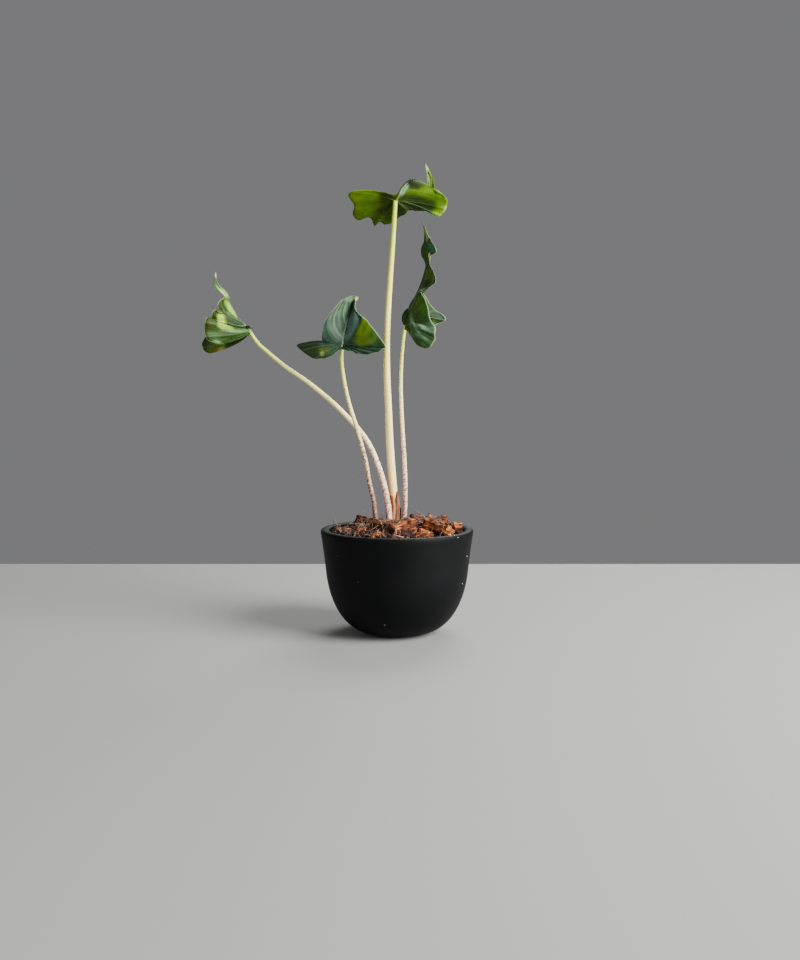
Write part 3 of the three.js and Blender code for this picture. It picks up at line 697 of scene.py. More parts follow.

# %% [markdown]
# Each leaf is drawn as three rails: its midrib, and the left and right edge of the blade as seen
# on the upper face. An edge point's first number says which share of the midrib it faces: the
# points of the lobes behind the stalk face its start. The blade is lofted between the rails, and
# its other values say how it is shaped and tinted there: camber is how far it arches, swell how
# many mm it rises between two veins, lean how far the veins sweep, normal the side that the lobes
# flare to, rib the midrib's radii, ridge the tint at a vein, partly the veins' own paler colour and
# partly painted sheen, hollow the tint between two veins, which is painted shade, and contrast how
# strongly both are painted.

# %% Leaf rails
LEAVES = {
    "top": {
        "camber": 0.05, "swell": 0.7, "lean": 2.4, "rib": (1.35, 0.35), "normal": (-0.1, 0.75, 0.65),
        "ridge": "#7f9c2a", "hollow_painted_shade": "#34490a", "contrast": 0.3,
        "midrib": [
            (-1, 0, 278.5), (1.5, -2.5, 282), (4.5, -4.5, 286), (8, -5.5, 289), (11, -4, 290.5),
            (14.5, 0, 289), (17.5, 4, 286.5), (20.5, 7, 285.5), (22, 9, 288.5), (22, 9.5, 294),
            (20, 8.5, 299), (18, 7, 303.5),
        ],
        "left": [
            (0, 7, 7, 273.5), (0, 10.5, 8, 273.5), (0, 14, 8.5, 273), (0, 19, 9, 273.5),
            (0, 22.5, 10, 272), (0, 26.5, 10, 270), (0, 29.5, 9, 271.5), (0, 32, 6, 275),
            (0.25, 32.5, 3.5, 277.5), (0.35, 31.5, 1.5, 280), (0.45, 28.5, 0, 282), (0.54, 25, 0, 283),
            (0.62, 23.5, 3, 285), (0.7, 24, 7, 288.5), (0.83, 23, 9, 295), (1, 18, 7, 303.5),
        ],
        "right": [
            (0, 7, 7, 273.5), (0, 5, 11, 271.5), (0, 2, 13, 270.5), (0, -1.5, 15.5, 268),
            (0, -5.5, 16.5, 266.5), (0, -8.5, 16.5, 266), (0, -11, 15, 267.5), (0, -14.5, 16.5, 265.5),
            (0, -17, 12.5, 269), (0, -20, 11, 269), (0, -25, 11.5, 268), (0, -28.5, 8, 271),
            (0, -27.5, 3.5, 275.5), (0, -31, -3, 280.5), (0, -28.5, -6, 282.5), (0, -22, -6.5, 283),
            (0, -15, -6, 283), (0, -7.5, -5, 282), (0, -3, -4.5, 281), (0.1, 0, -3, 282),
            (0.2, 3, 0, 285.5), (0.3, 6, 6, 290.5), (0.38, 9.5, 11, 294.5), (0.45, 13.5, 15, 294),
            (0.53, 16, 16, 291), (0.6, 18, 14, 288.5), (0.66, 19.5, 10.5, 287),
            (0.74, 19.5, 8.5, 291.5), (0.87, 19, 8.2, 298), (1, 18, 7, 303.5),
        ],
    },
    "mid_left": {
        "camber": 0.07, "swell": 1.1, "lean": 3.4, "rib": (1.05, 0.3), "normal": (-0.1, -0.85, 0.5),
        "ridge": "#3f584e", "hollow_painted_shade": "#182a1e", "contrast": 0.5,
        "midrib": [
            (-34.5, -11.5, 186.5), (-34, -9.5, 191.5), (-32.5, -7, 198), (-31, -3, 205.5),
            (-29, 0, 212), (-27.5, 2, 216), (-26, 3, 217.5), (-24.5, 3, 217),
        ],
        "left": [
            (0, -35, -13.5, 183.5), (0, -37.5, -13.5, 182.5), (0, -39.5, -13, 180),
            (0, -43.5, -12, 178), (0, -48, -11, 177.5), (0, -53.5, -9.5, 178), (0, -57, -8, 180),
            (0, -61, -6, 183), (0, -64, -4, 186), (0, -59.5, -2.5, 185), (0, -53, -3, 185),
            (0, -48.5, -6, 186), (0, -47, -10, 187.5), (0.08, -47.5, -13, 191), (0.18, -47, -14.5, 195),
            (0.29, -46, -14.5, 200), (0.41, -43.5, -13, 205), (0.52, -40.5, -10.5, 209),
            (0.64, -37, -7, 213.5), (0.75, -33.5, -3.5, 216.5), (0.86, -30, -0.5, 218),
            (0.94, -27, 1.5, 218.5), (1, -24.5, 3, 217),
        ],
        "right": [
            (0, -35, -13.5, 183.5), (0, -32.5, -15, 183), (0, -28.5, -18, 181.5), (0, -23.5, -21, 180),
            (0, -18.5, -24, 179.5), (0, -13, -26.5, 180.5), (0, -9, -28, 182), (0, -6.5, -28.5, 184),
            (0.08, -9, -26, 188.5), (0.17, -12.5, -23, 193.5), (0.27, -16, -19, 198),
            (0.35, -18.5, -16, 201.5), (0.42, -21, -13, 203.5), (0.52, -24, -9, 207),
            (0.64, -26, -6, 210.5), (0.78, -26, -2.5, 214), (0.9, -25.5, 0, 216), (1, -24.5, 3, 217),
        ],
    },
    "far_left": {
        "camber": 0.06, "swell": 0.9, "lean": 2.8, "rib": (1.05, 0.3), "normal": (-0.98, 0, 0.17),
        "ridge": "#64823e", "hollow_painted_shade": "#22340c", "contrast": 0.35,
        "midrib": [
            (-95, 1, 196), (-98.5, 1.2, 200), (-102.5, 1.6, 204), (-105.5, 2, 208.5), (-108, 2, 213),
            (-109.5, 1.5, 217.5), (-111.5, 1, 220.5), (-114, 0, 223.5), (-115.5, -0.5, 226),
            (-116.5, -0.5, 229.5), (-116, 0, 233.5),
        ],
        "left": [
            (0, -96, 0.5, 192.5), (0, -100, 1.5, 193.5), (0, -104.5, 3.4, 192.5),
            (0, -108.5, 5.6, 191.5), (0, -112, 7.8, 189.5), (0, -114.5, 10.4, 186.5),
            (0, -120, 14, 183.5), (0, -124, 16, 182.5), (0, -128, 17.5, 185), (0, -129, 18, 188),
            (0, -127.5, 18, 192), (0, -125.5, 17.5, 197.5), (0.12, -122, 16, 202.5),
            (0.24, -118, 13.5, 207.5), (0.36, -113, 10.5, 212), (0.46, -109, 7.5, 215.5),
            (0.56, -108.5, 4.5, 218.5), (0.66, -110.5, 3, 222), (0.76, -113, 2, 224.5),
            (0.88, -115.5, 1, 228), (1, -116, 0, 233.5),
        ],
        "right": [
            (0, -96, 0.5, 192.5), (0, -99, -1, 193.5), (0, -103, -2.6, 193.5), (0, -107, -4.6, 193),
            (0, -110, -7.5, 190), (0, -112.5, -11, 186.5), (0, -115.5, -12.5, 188),
            (0, -119, -14, 189.5), (0, -120.5, -15.5, 192.5), (0, -120.5, -16, 197),
            (0, -120, -16, 202), (0.06, -118.3, -14.5, 203.8), (0.1, -116.6, -10.5, 201.3),
            (0.15, -116.4, -12.5, 204), (0.2, -115.6, -13.5, 207), (0.25, -112.8, -11.5, 208.2),
            (0.29, -112.2, -7.5, 208), (0.34, -112.8, -9.5, 211.2), (0.4, -112, -8.5, 214.2),
            (0.46, -110.3, -5.5, 216.2), (0.51, -109.5, -3.5, 217.4), (0.6, -112.5, -3, 220),
            (0.7, -116, -3.5, 223), (0.85, -117, -2, 228), (1, -116, 0, 233.5),
        ],
    },
    "right": {
        "camber": 0.06, "swell": 0.7, "lean": 2.8, "rib": (0.95, 0.3), "normal": (-0.88, -0.35, 0.3),
        "ridge": "#567a58", "hollow_painted_shade": "#14260a", "contrast": 0.35,
        "midrib": [
            (5.5, 5.5, 203), (6, 6.8, 207), (7, 8, 211), (11, 9.5, 218), (14.5, 10, 225.5),
            (17.5, 9.5, 234.5), (19, 8.5, 241), (19.5, 8, 247.5), (19.5, 7.5, 254), (18, 7, 261),
            (16, 6.5, 266.5),
        ],
        "left": [
            (0, 5, 3.2, 197), (0, 5, 7.5, 198), (0, 7, 11.5, 196.5), (0, 11, 15.5, 195.5),
            (0, 16, 19.5, 196), (0, 20.5, 23.5, 198.5), (0, 25, 27, 201.5), (0, 29, 29.5, 203),
            (0, 33, 31, 206.5), (0.04, 30, 29.5, 210), (0.09, 25.5, 27, 212.5), (0.18, 21, 23.5, 218),
            (0.3, 17.5, 20, 224.5), (0.4, 19.5, 17.5, 231), (0.5, 21.5, 15.5, 237),
            (0.58, 18.5, 14, 243), (0.64, 16, 13.5, 246.5), (0.7, 16, 13, 250), (0.77, 17.5, 11, 254.5),
            (0.88, 17.5, 8.5, 261), (1, 16, 6.5, 266.5),
        ],
        "right": [
            (0, 5, 3.2, 197), (0, 7, 0, 195.5), (0, 9, -4, 192), (0, 12.5, -9, 186.5),
            (0, 17.5, -12, 184), (0, 21.5, -14, 185), (0, 24, -15, 189), (0, 24.5, -15, 193.5),
            (0, 24, -14, 198), (0.05, 21.5, -12.5, 202), (0.1, 20.5, -10, 208), (0.19, 18.5, -6, 215.5),
            (0.26, 16, -2, 220.5), (0.3, 18, -4, 220), (0.34, 21.5, -5.5, 223), (0.38, 25, -6, 226),
            (0.43, 25, -5, 230), (0.49, 22.5, -2, 235.5), (0.55, 21, 0, 240), (0.6, 22, -1, 243.5),
            (0.65, 25.5, -3, 245.5), (0.7, 25, -2.5, 249), (0.77, 22, 0, 253.5), (0.86, 19.5, 3, 259),
            (1, 16, 6.5, 266.5),
        ],
    },
}
LOBE_ROWS = 16
SIDE_ROWS = 18
SEAM_ROWS = 3
FLARE_POWER = 1.8
FLARE_END = 0.35
print("leaves:", ", ".join(LEAVES))

# %% [markdown]
# A leaf isn't a smooth sheet. Main veins leave the midrib and sweep towards the tip, and the blade
# between two veins swells up a little. VEINS counts the veins from the notch to the tip along one
# side, and the swelling is half a sine wave between two of them, with some crumple from noise. All
# of it goes into the mesh, so the leaf keeps its quilting from every side.

# %% Blade surface
VEINS = 11
CRUMPLE = 0.45


def edge_share(edge, row):
    """Where along an edge curve a row ends: the first rows fan round the lobe."""
    last = len(edge) - 1
    lobe_end = max(i for i, point in enumerate(edge) if point[0] == 0)
    if row <= LOBE_ROWS:
        return row / LOBE_ROWS * lobe_end / last
    facing = min(1.0, (row - LOBE_ROWS) / SIDE_ROWS)
    after = next(i for i, point in enumerate(edge) if point[0] >= max(facing, 1e-6))
    before, beyond = edge[after - 1][0], edge[after][0]
    return (after - 1 + (facing - before) / (beyond - before)) / last


def vein_phase(leaf, across, along):
    """Counts the veins on the way to the tip: it is whole on a vein."""
    row = along * (LOBE_ROWS + SIDE_ROWS)
    facing = max(0.0, row - LOBE_ROWS) / SIDE_ROWS
    return VEINS * along - leaf["lean"] * across * min(1.0, 1.6 * facing)


def blade_point(leaf, across, along):
    """A point of the blade, from -1 at the left edge to 1 at the right, and how far it reaches."""
    row = along * (LOBE_ROWS + SIDE_ROWS)
    facing = min(1.0, max(0.0, row - LOBE_ROWS) / SIDE_ROWS)
    edge = leaf["left"] if across < 0 else leaf["right"]
    points = vectors(point[1:] for point in edge)
    share = edge_share(edge, row)
    out = abs(across)
    root = curve_point(leaf["spine"], facing)
    reach = curve_point(points, share) - root
    ahead = curve_ahead(points, share)
    upward = (reach.cross(ahead) if across >= 0 else ahead.cross(reach)).normalized()
    calm = min(1.0, row / SEAM_ROWS) * min(1.0, 8 * (1 - facing)) * min(1.0, reach.length / 9)
    swell = leaf["swell"] * out**0.8 * abs(math.sin(math.pi * vein_phase(leaf, out, along)))
    swell += CRUMPLE * out * noise.noise((root + reach * out) * 0.22)
    rise = 4 * leaf["camber"] * min(1.0, row / SEAM_ROWS) * reach.length * out * (1 - out)
    face = Vector(leaf["normal"]).normalized()
    flare = (out**FLARE_POWER - out) * max(0.0, 1 - facing / FLARE_END)
    place = root + reach * out + upward * (rise + swell * calm) + face * flare * reach.dot(face)
    return place, reach.length, upward


for leaf in LEAVES.values():
    leaf["spine"] = vectors(leaf["midrib"])
tip = blade_point(LEAVES["top"], 0, 1)[0]
print("the top leaf's tip is", [round(c, 1) for c in tip])

# %% [markdown]
# Most of these patches are painted light. Vivid yellow-green patches are painted light shining
# through a blade, blue-grey ones are a painted sheen of reflected light, dark green ones are painted
# shade in folds, under lobes and beside the stalks, olive ones darken the outer lobes, and a few
# pale spots are painted highlights. The pale and brown dried tips are the leaves' own colour.
# Each patch below is a soft spot: its centre seen from the front, its reach across and up, its tilt
# in degrees, its colour, its strength, and the half of the blade it lies on.

# %% Leaf paint
LEAF_BASE = {"top": "#507004", "mid_left": "#263c2a", "far_left": "#273f10", "right": "#294616"}
# Most patches are painted light: light shining through, sheen, shade and highlights.
LEAF_TINT_AND_LIGHT_PATCHES = {
    "top": [
        (-17.2, 281.8, 16.9, 3.6, 0, "#668a04", 0.9, "right"),
        (-27.4, 278.3, 7, 6.5, 0, "#628404", 0.85, "right"),
        (-19.8, 275.2, 7.8, 5.2, 0, "#4b6a02", 0.7, "right"),
        (-5.7, 275.9, 9.1, 9.1, 0, "#2a3c06", 0.95, "right"),
        (-12.1, 266.5, 7.8, 5.2, 0, "#36520a", 0.8, "right"),
        (-24.9, 270.2, 5.2, 3.9, 0, "#3f5a05", 0.7, "right"),
        (3.2, 273.4, 5.2, 5.9, 0, "#22360a", 0.9, "both"),
        (10.3, 278.1, 13, 5.5, 0, "#22350d", 0.95, "left"),
        (17.9, 276.5, 9.1, 3.9, 0, "#263b0e", 0.95, "left"),
        (13.4, 274, 10.4, 3.3, 0, "#22350d", 0.9, "left"),
        (4.5, 277.1, 5.2, 3.9, 0, "#2c4110", 0.9, "left"),
        (20.5, 283.4, 13, 3, -6, "#678c06", 0.95, "left"),
        (7, 290.2, 5.9, 3.9, 0, "#1c2f0f", 0.95, "left"),
        (29.4, 279, 5, 6.5, 0, "#6a9002", 0.95, "left"),
        (27.5, 272.1, 4.6, 3.9, 0, "#86aa0c", 0.9, "left"),
        (31.3, 274, 1.6, 2.6, 0, "#c3d58c", 0.8, "left"),
        (8.3, 290.9, 7.8, 3.9, 0, "#1f3310", 0.95, "right"),
        (11.5, 286.5, 3.3, 2.6, 0, "#6d8a16", 0.85, "both"),
        (9.5, 289.6, 8.5, 5, 0, "#1a2b0e", 0.97, "both"),
        (4.2, 284.3, 1.3, 5, -40, "#9ab890", 0.8, "both"),
        (20.4, 294, 3.9, 9.1, 0, "#5f7d22", 0.85, "both"),
        (19.2, 292.7, 1, 4.2, 0, "#a5bd70", 0.5, "both"),
        (18.5, 300.2, 2, 2.8, 0, "#c6d29a", 0.85, "both"),
    ],
    "mid_left": [
        (-43.8, 199.2, 6.4, 14.1, 0, "#2f4938", 0.35, "left"),
        (-47.6, 192.9, 2.6, 9, 0, "#435f4d", 0.4, "left"),
        (-36.1, 209.8, 5.1, 5.1, 0, "#3f5c30", 0.45, "left"),
        (-31.6, 216.7, 5.8, 2.6, 0, "#556c46", 0.8, "left"),
        (-41.9, 189.1, 5.1, 3.2, 0, "#22372c", 0.6, "left"),
        (-27.9, 201.1, 3.5, 15.5, -20, "#527061", 0.85, "right"),
        (-14.6, 192.9, 5.5, 7.5, 0, "#3d5c10", 0.95, "right"),
        (-20.4, 200.2, 2.9, 4.8, 0, "#56740a", 0.97, "right"),
        (-20.8, 194.5, 4.6, 7.4, -8, "#628006", 0.97, "right"),
        (-21, 188.5, 8, 4, 0, "#56740a", 0.95, "right"),
        (-10.8, 187.2, 4.5, 3.2, 0, "#2f5018", 0.8, "right"),
        (-22.2, 182.4, 14.1, 1.6, 0, "#3a5c40", 0.75, "right"),
        (-34.3, 187.2, 3.2, 3.2, 0, "#263a2c", 0.6, "both"),
        (-56, 182.6, 11.5, 5.6, 0, "#1f330f", 0.97, "left"),
        (-45.8, 182.2, 3.8, 3.2, 0, "#4a5a14", 0.85, "left"),
        (-47, 180.9, 1.6, 1.9, 0, "#98a25a", 0.8, "left"),
        (-25.6, 216.4, 1.9, 1.9, 0, "#eadfa6", 0.95, "both"),
        (-24, 216.5, 1.7, 1.7, 0, "#7a3c16", 0.98, "both"),
    ],
    "far_left": [
        (-119.3, 198.5, 5.4, 7.1, 0, "#2b380a", 0.97, "right"),
        (-120.5, 203.6, 2.6, 2.6, 0, "#3b480e", 0.8, "right"),
        (-114.7, 205.5, 3.2, 3.2, 0, "#26360a", 0.95, "right"),
        (-110.9, 210.5, 2.6, 3.8, 0, "#26340b", 0.95, "right"),
        (-102.1, 201.1, 6.4, 2.3, -28, "#1d3212", 0.95, "right"),
        (-111.3, 202.3, 2.4, 5.8, 12, "#a8ca44", 0.98, "right"),
        (-109.1, 197.9, 5.4, 1.7, -10, "#94b840", 0.95, "right"),
        (-106.8, 210.4, 2.3, 6.2, 30, "#90b43e", 0.95, "right"),
        (-100.8, 205.5, 1.7, 10.9, 37, "#46693c", 0.85, "right"),
        (-102.8, 195.7, 8.3, 1.2, 0, "#6f9460", 0.85, "right"),
        (-115.6, 191.6, 5.1, 2.6, -15, "#35552c", 0.85, "right"),
        (-113.1, 188.2, 3.2, 1.1, -20, "#6a8f52", 0.75, "right"),
        (-118.2, 185.3, 7.7, 5.4, 10, "#59640f", 0.97, "left"),
        (-115, 184.8, 3.2, 2.2, 10, "#8d9838", 0.8, "left"),
        (-104.8, 189.7, 7.7, 3.2, 0, "#22310d", 0.95, "left"),
        (-110.7, 219.9, 2.1, 4.5, 40, "#7d9c4c", 0.8, "both"),
        (-112.6, 221.1, 1, 4.8, 42, "#a9c070", 0.8, "both"),
        (-107.9, 221.1, 1.4, 5.1, 35, "#3c6644", 0.8, "both"),
        (-114.4, 226.7, 2.3, 5.1, 15, "#46683e", 0.85, "both"),
        (-114.6, 231.7, 1.8, 3.2, 0, "#efe6c2", 0.97, "both"),
    ],
    "right": [
        (22.8, 249.6, 3.3, 4.6, 0, "#365a4c", 0.85, "right"),
        (17.3, 247.6, 2.6, 4.6, 0, "#2c4a18", 0.9, "left"),
        (21, 243.5, 0.8, 3.2, 8, "#cfdcae", 0.8, "right"),
        (22, 239, 0.8, 4, 18, "#b9cd9a", 0.8, "right"),
        (21.1, 232.9, 3.9, 5.9, 0, "#33520a", 0.9, "both"),
        (18.4, 226.3, 3.9, 2.6, 0, "#1b2f0f", 0.85, "both"),
        (15.9, 227, 1.6, 3.9, 0, "#3b4d36", 0.8, "left"),
        (15.9, 221.6, 2, 1.6, 0, "#8aa08a", 0.8, "right"),
        (14.8, 213.8, 4.6, 9, 0, "#30540f", 0.9, "right"),
        (9.9, 216, 2, 6.5, 0, "#283f2c", 0.8, "right"),
        (12.2, 206.5, 3.9, 3.9, 0, "#1f3a18", 0.7, "right"),
        (9.1, 202.6, 1.3, 5.2, 0, "#55705c", 0.7, "right"),
        (11.6, 198.6, 1.1, 6, 28, "#7d9b86", 0.8, "right"),
        (17.5, 196.9, 6, 1.5, -30, "#86a890", 0.9, "right"),
        (15.5, 191.4, 5.6, 1.2, -30, "#5f8568", 0.8, "right"),
        (21.1, 197.6, 3.3, 3.9, 0, "#456a48", 0.8, "right"),
        (13.7, 196.9, 2, 2, 0, "#35603a", 0.8, "right"),
        (18.9, 187.2, 4.6, 2.6, 0, "#3a6036", 0.8, "right"),
        (9.9, 193.9, 2, 3.9, 0, "#355a3c", 0.7, "right"),
        (27.8, 206.5, 6.5, 7, 0, "#152a1a", 0.97, "left"),
        (23.3, 208.7, 3, 7, 20, "#182c07", 0.97, "left"),
        (24.5, 204.2, 1.3, 2, 0, "#2f4a0a", 0.8, "left"),
        (27.1, 200.2, 2.6, 1, 0, "#aec3a0", 0.7, "left"),
        (17.7, 262.1, 2, 4.6, 0, "#78883c", 0.85, "both"),
        (19.7, 257, 1.3, 3.9, 0, "#7f9a74", 0.7, "both"),
    ],
}


def leaf_colour_and_light(name, place, half, tint="#000000", tint_share=0):
    """A place's paint in linear light: its base over a vein tint, then painted light and shade."""
    colour = Vector(linear(LEAF_BASE[name])).lerp(Vector(linear(tint)), tint_share)
    drift = 0.3 * noise.noise(place * 0.2)
    for x, z, wide, high, tilt, shade, strength, side in LEAF_TINT_AND_LIGHT_PATCHES[name]:
        if side not in (half, "both"):
            continue
        spot = Vector((place.x - x, place.z - z))
        spot.rotate(Matrix.Rotation(math.radians(-tilt), 2))
        away = math.hypot(spot.x / wide, spot.y / high) + drift
        soft = min(1.0, max(0.0, 1.7 - 1.4 * away))
        colour = colour.lerp(Vector(linear(shade)), strength * soft * soft * (3 - 2 * soft))
    return colour


# %% [markdown]
# The blade is one grid: the lobe rows fan round the end of the stalk and the rest run up the
# midrib. It gets a thin wall below, so that the upper and the under face can have a finish each.
# Below that wall run the ribs, as they do on the real leaf: a stout midrib that carries on from
# the stalk, one rib into each lobe, and a thread under each main vein. Attributes hold each
# corner's paint, with its painted light and shade, how far it is in mm from the midrib and from
# the margin, and how clear the veins are there. FOLDS adds the small tucks beside a stalk's end,
# each in one flat paint: painted shade for the dark ones and painted light for the pale one.

# %% Leaf shape
BLADE_ROWS = 170
BLADE_COLUMNS = 36
BLADE_WALL = 0.45
UPPER, UNDER = 0, 1
LOBE_RIB = 0.78  # how far from the notch round to the midrib's start a lobe's rib runs
SPINE_POINTS, SPINE_END = 25, 0.96
VEIN_POINTS, VEIN_START, VEIN_END = 7, 0.02, 0.85
SHORTEST_REACH = 6
RIB_STEPS, RIB_SIDES = 40, 8
FOLD_COLUMNS, FOLD_ROWS = 14, 20
FAR_MM = 9  # too far from a rib or a margin to be paler
# Each fold's paint is flat: the dark ones are painted shade, the pale one painted light.
FOLDS = {
    "right": [
        {
            "from": (6.4, 5.6, 198.5), "to": (8, 7.4, 211.5), "side": (0.4, 3, 0),
            "out": (-4.1, 0, 0.4), "paint": "#1f3410",
        },
    ],
    "far_left": [
        {
            "from": (-98.5, 1, 198.6), "to": (-92.8, 1, 197.6), "side": (0, 1.8, 0),
            "out": (0.4, 0, 1.5), "paint": "#16260e",
        },
        {
            "from": (-96.8, 0.8, 196.2), "to": (-93.2, 0.8, 195.6), "side": (0, 1.7, 0),
            "out": (0, 0, -1.4), "paint": "#86a24a",
        },
    ],
}


def leaf_shape(name, leaf):
    """One leaf: its blade, its ribs and its paint."""
    bm = bmesh.new()
    rib_gap = bm.verts.layers.float.new("rib_mm")
    edge_gap = bm.verts.layers.float.new("margin_mm")
    clarity = bm.verts.layers.float.new("vein_clarity")
    paint = bm.verts.layers.float_color.new("paint")

    def shape(corner, across, along):
        side = 2 * across - 1
        corner.co, reach, _ = blade_point(leaf, side, along)
        facing = max(0.0, along * (LOBE_ROWS + SIDE_ROWS) - LOBE_ROWS) / SIDE_ROWS
        clear = min(1.0, max(0.0, (reach - 2) / 6))
        corner[rib_gap] = abs(side) * reach + max(0.0, 1.2 - 0.2 * reach) + facing
        corner[edge_gap] = (1 - abs(side)) * reach
        corner[clarity] = clear
        # Near a vein the paint takes the ridge tint, partly the vein's own colour and partly painted
        # sheen; between veins it takes painted shade.
        swollen = abs(math.sin(math.pi * vein_phase(leaf, abs(side), along)))
        tint = leaf["ridge"] if swollen < 0.5 else leaf["hollow_painted_shade"]
        clear *= 0.4 + 0.6 * min(1.0, 5 * facing)
        tint_share = leaf["contrast"] * clear * (2 * swollen - 1) ** 2
        half = "left" if side < 0 else "right"
        corner[paint] = leaf_colour_and_light(name, corner.co, half, tint, tint_share)

    def veins(across, along):
        return vein_phase(leaf, abs(2 * across - 1), along), across

    sheet = mapped_grid(bm, BLADE_COLUMNS, BLADE_ROWS, shape, veins, UPPER)
    give_wall(bm, sheet, lambda corner: BLADE_WALL * min(1, 0.25 + 0.6 * corner[edge_gap]), UNDER)
    for fold in FOLDS.get(name, ()):
        add_fold(bm, name, fold)
    for path, half, radii, gap in rib_paths(leaf):
        for corner in tube(bm, path, lambda along: taper(radii, along), RIB_STEPS, RIB_SIDES, UNDER):
            corner[rib_gap] = gap + 0.07 * (corner.co - path[0]).length
            corner[edge_gap] = FAR_MM
            corner[paint] = leaf_colour_and_light(name, corner.co, half)
    return bm


def taper(radii, along):
    """The radius at a share of a rib, which thins fast at first."""
    return radii[1] + (radii[0] - radii[1]) * (1 - along) ** 2


def add_fold(bm, name, fold):
    """Adds a small bulging fold beside the end of the stalk, as half of a spindle."""
    start, end = Vector(fold["from"]), Vector(fold["to"])
    side, out = Vector(fold["side"]), Vector(fold["out"])
    paint = bm.verts.layers.float_color["paint"]
    rib_gap = bm.verts.layers.float["rib_mm"]
    edge_gap = bm.verts.layers.float["margin_mm"]
    first = len(bm.verts)

    def shape(corner, across, along):
        swell = math.sin(math.pi * along) ** 0.6
        turn = math.pi * across
        corner.co = start.lerp(end, along)
        corner.co += (side * math.cos(turn) + out * math.sin(turn)) * swell
        corner[rib_gap] = corner[edge_gap] = FAR_MM
        corner[paint] = linear(fold["paint"])

    sheet = mapped_grid(bm, FOLD_COLUMNS, FOLD_ROWS, shape, lambda across, along: (0.5, across), UPPER)
    give_wall(bm, sheet, lambda corner: 0.5 * BLADE_WALL, UNDER)
    print(name, "fold corners", len(bm.verts) - first)


def rib_paths(leaf):
    """The ribs under the blade: path, half, radius at both ends, and a gap that pales them."""
    thick, thin = leaf["rib"]
    start = LOBE_ROWS / (LOBE_ROWS + SIDE_ROWS)
    spine = []
    for step in range(SPINE_POINTS):
        along = start + (SPINE_END - start) * step / (SPINE_POINTS - 1)
        place, _, right_up = blade_point(leaf, 1e-4, along)
        left_up = blade_point(leaf, -1e-4, along)[2]
        spine.append(place - (left_up + right_up).normalized() * (BLADE_WALL + 0.1 * thick))
    paths = [(spine, "right", (0.75 * thick, 0.8 * thin), 0.2)]
    for side in (-1, 1):
        for number in range(1, VEINS):
            path = []
            for step in range(VEIN_POINTS):
                across = VEIN_START + (VEIN_END - VEIN_START) * step / (VEIN_POINTS - 1)
                along = number / VEINS
                for _ in range(4):
                    along += (number - vein_phase(leaf, across, along)) / VEINS
                place, reach, upward = blade_point(leaf, side * across, min(along, 1))
                if reach > SHORTEST_REACH:
                    path.append(place - upward * (BLADE_WALL - 0.05))
            if len(path) > 3:
                lobe_rib = number == round(LOBE_RIB * start * VEINS)
                radii = (0.4 * thick, 0.12) if lobe_rib else (0.2, 0.07)
                half = "left" if side < 0 else "right"
                paths.append((path, half, radii, 0.5 if lobe_rib else FAR_MM))
    return paths


print("blade faces", BLADE_ROWS * BLADE_COLUMNS)

# %% [markdown]
# A living leaf is a waxy skin over soft green cells. On both faces the veins show as slightly
# raised, paler lines, and the midrib is paler too. A pale line along the margin is partly the
# edge's own paler colour and partly a painted highlight where the edge catches the light. A young
# blade lets 30 percent of the light through and a grown one 12 to 14 percent, and that light comes
# out yellower than it went in. Five finer veins between two main ones, and a mottle of 5 mm, break
# up the green.

# %% Leaf finishes
FINE_VEINS = 5
CELL_MOTTLE = 5
VEIN_HALF_WIDTH = 0.045
SMOOTH = {"interpolation_type": "SMOOTHSTEP"}


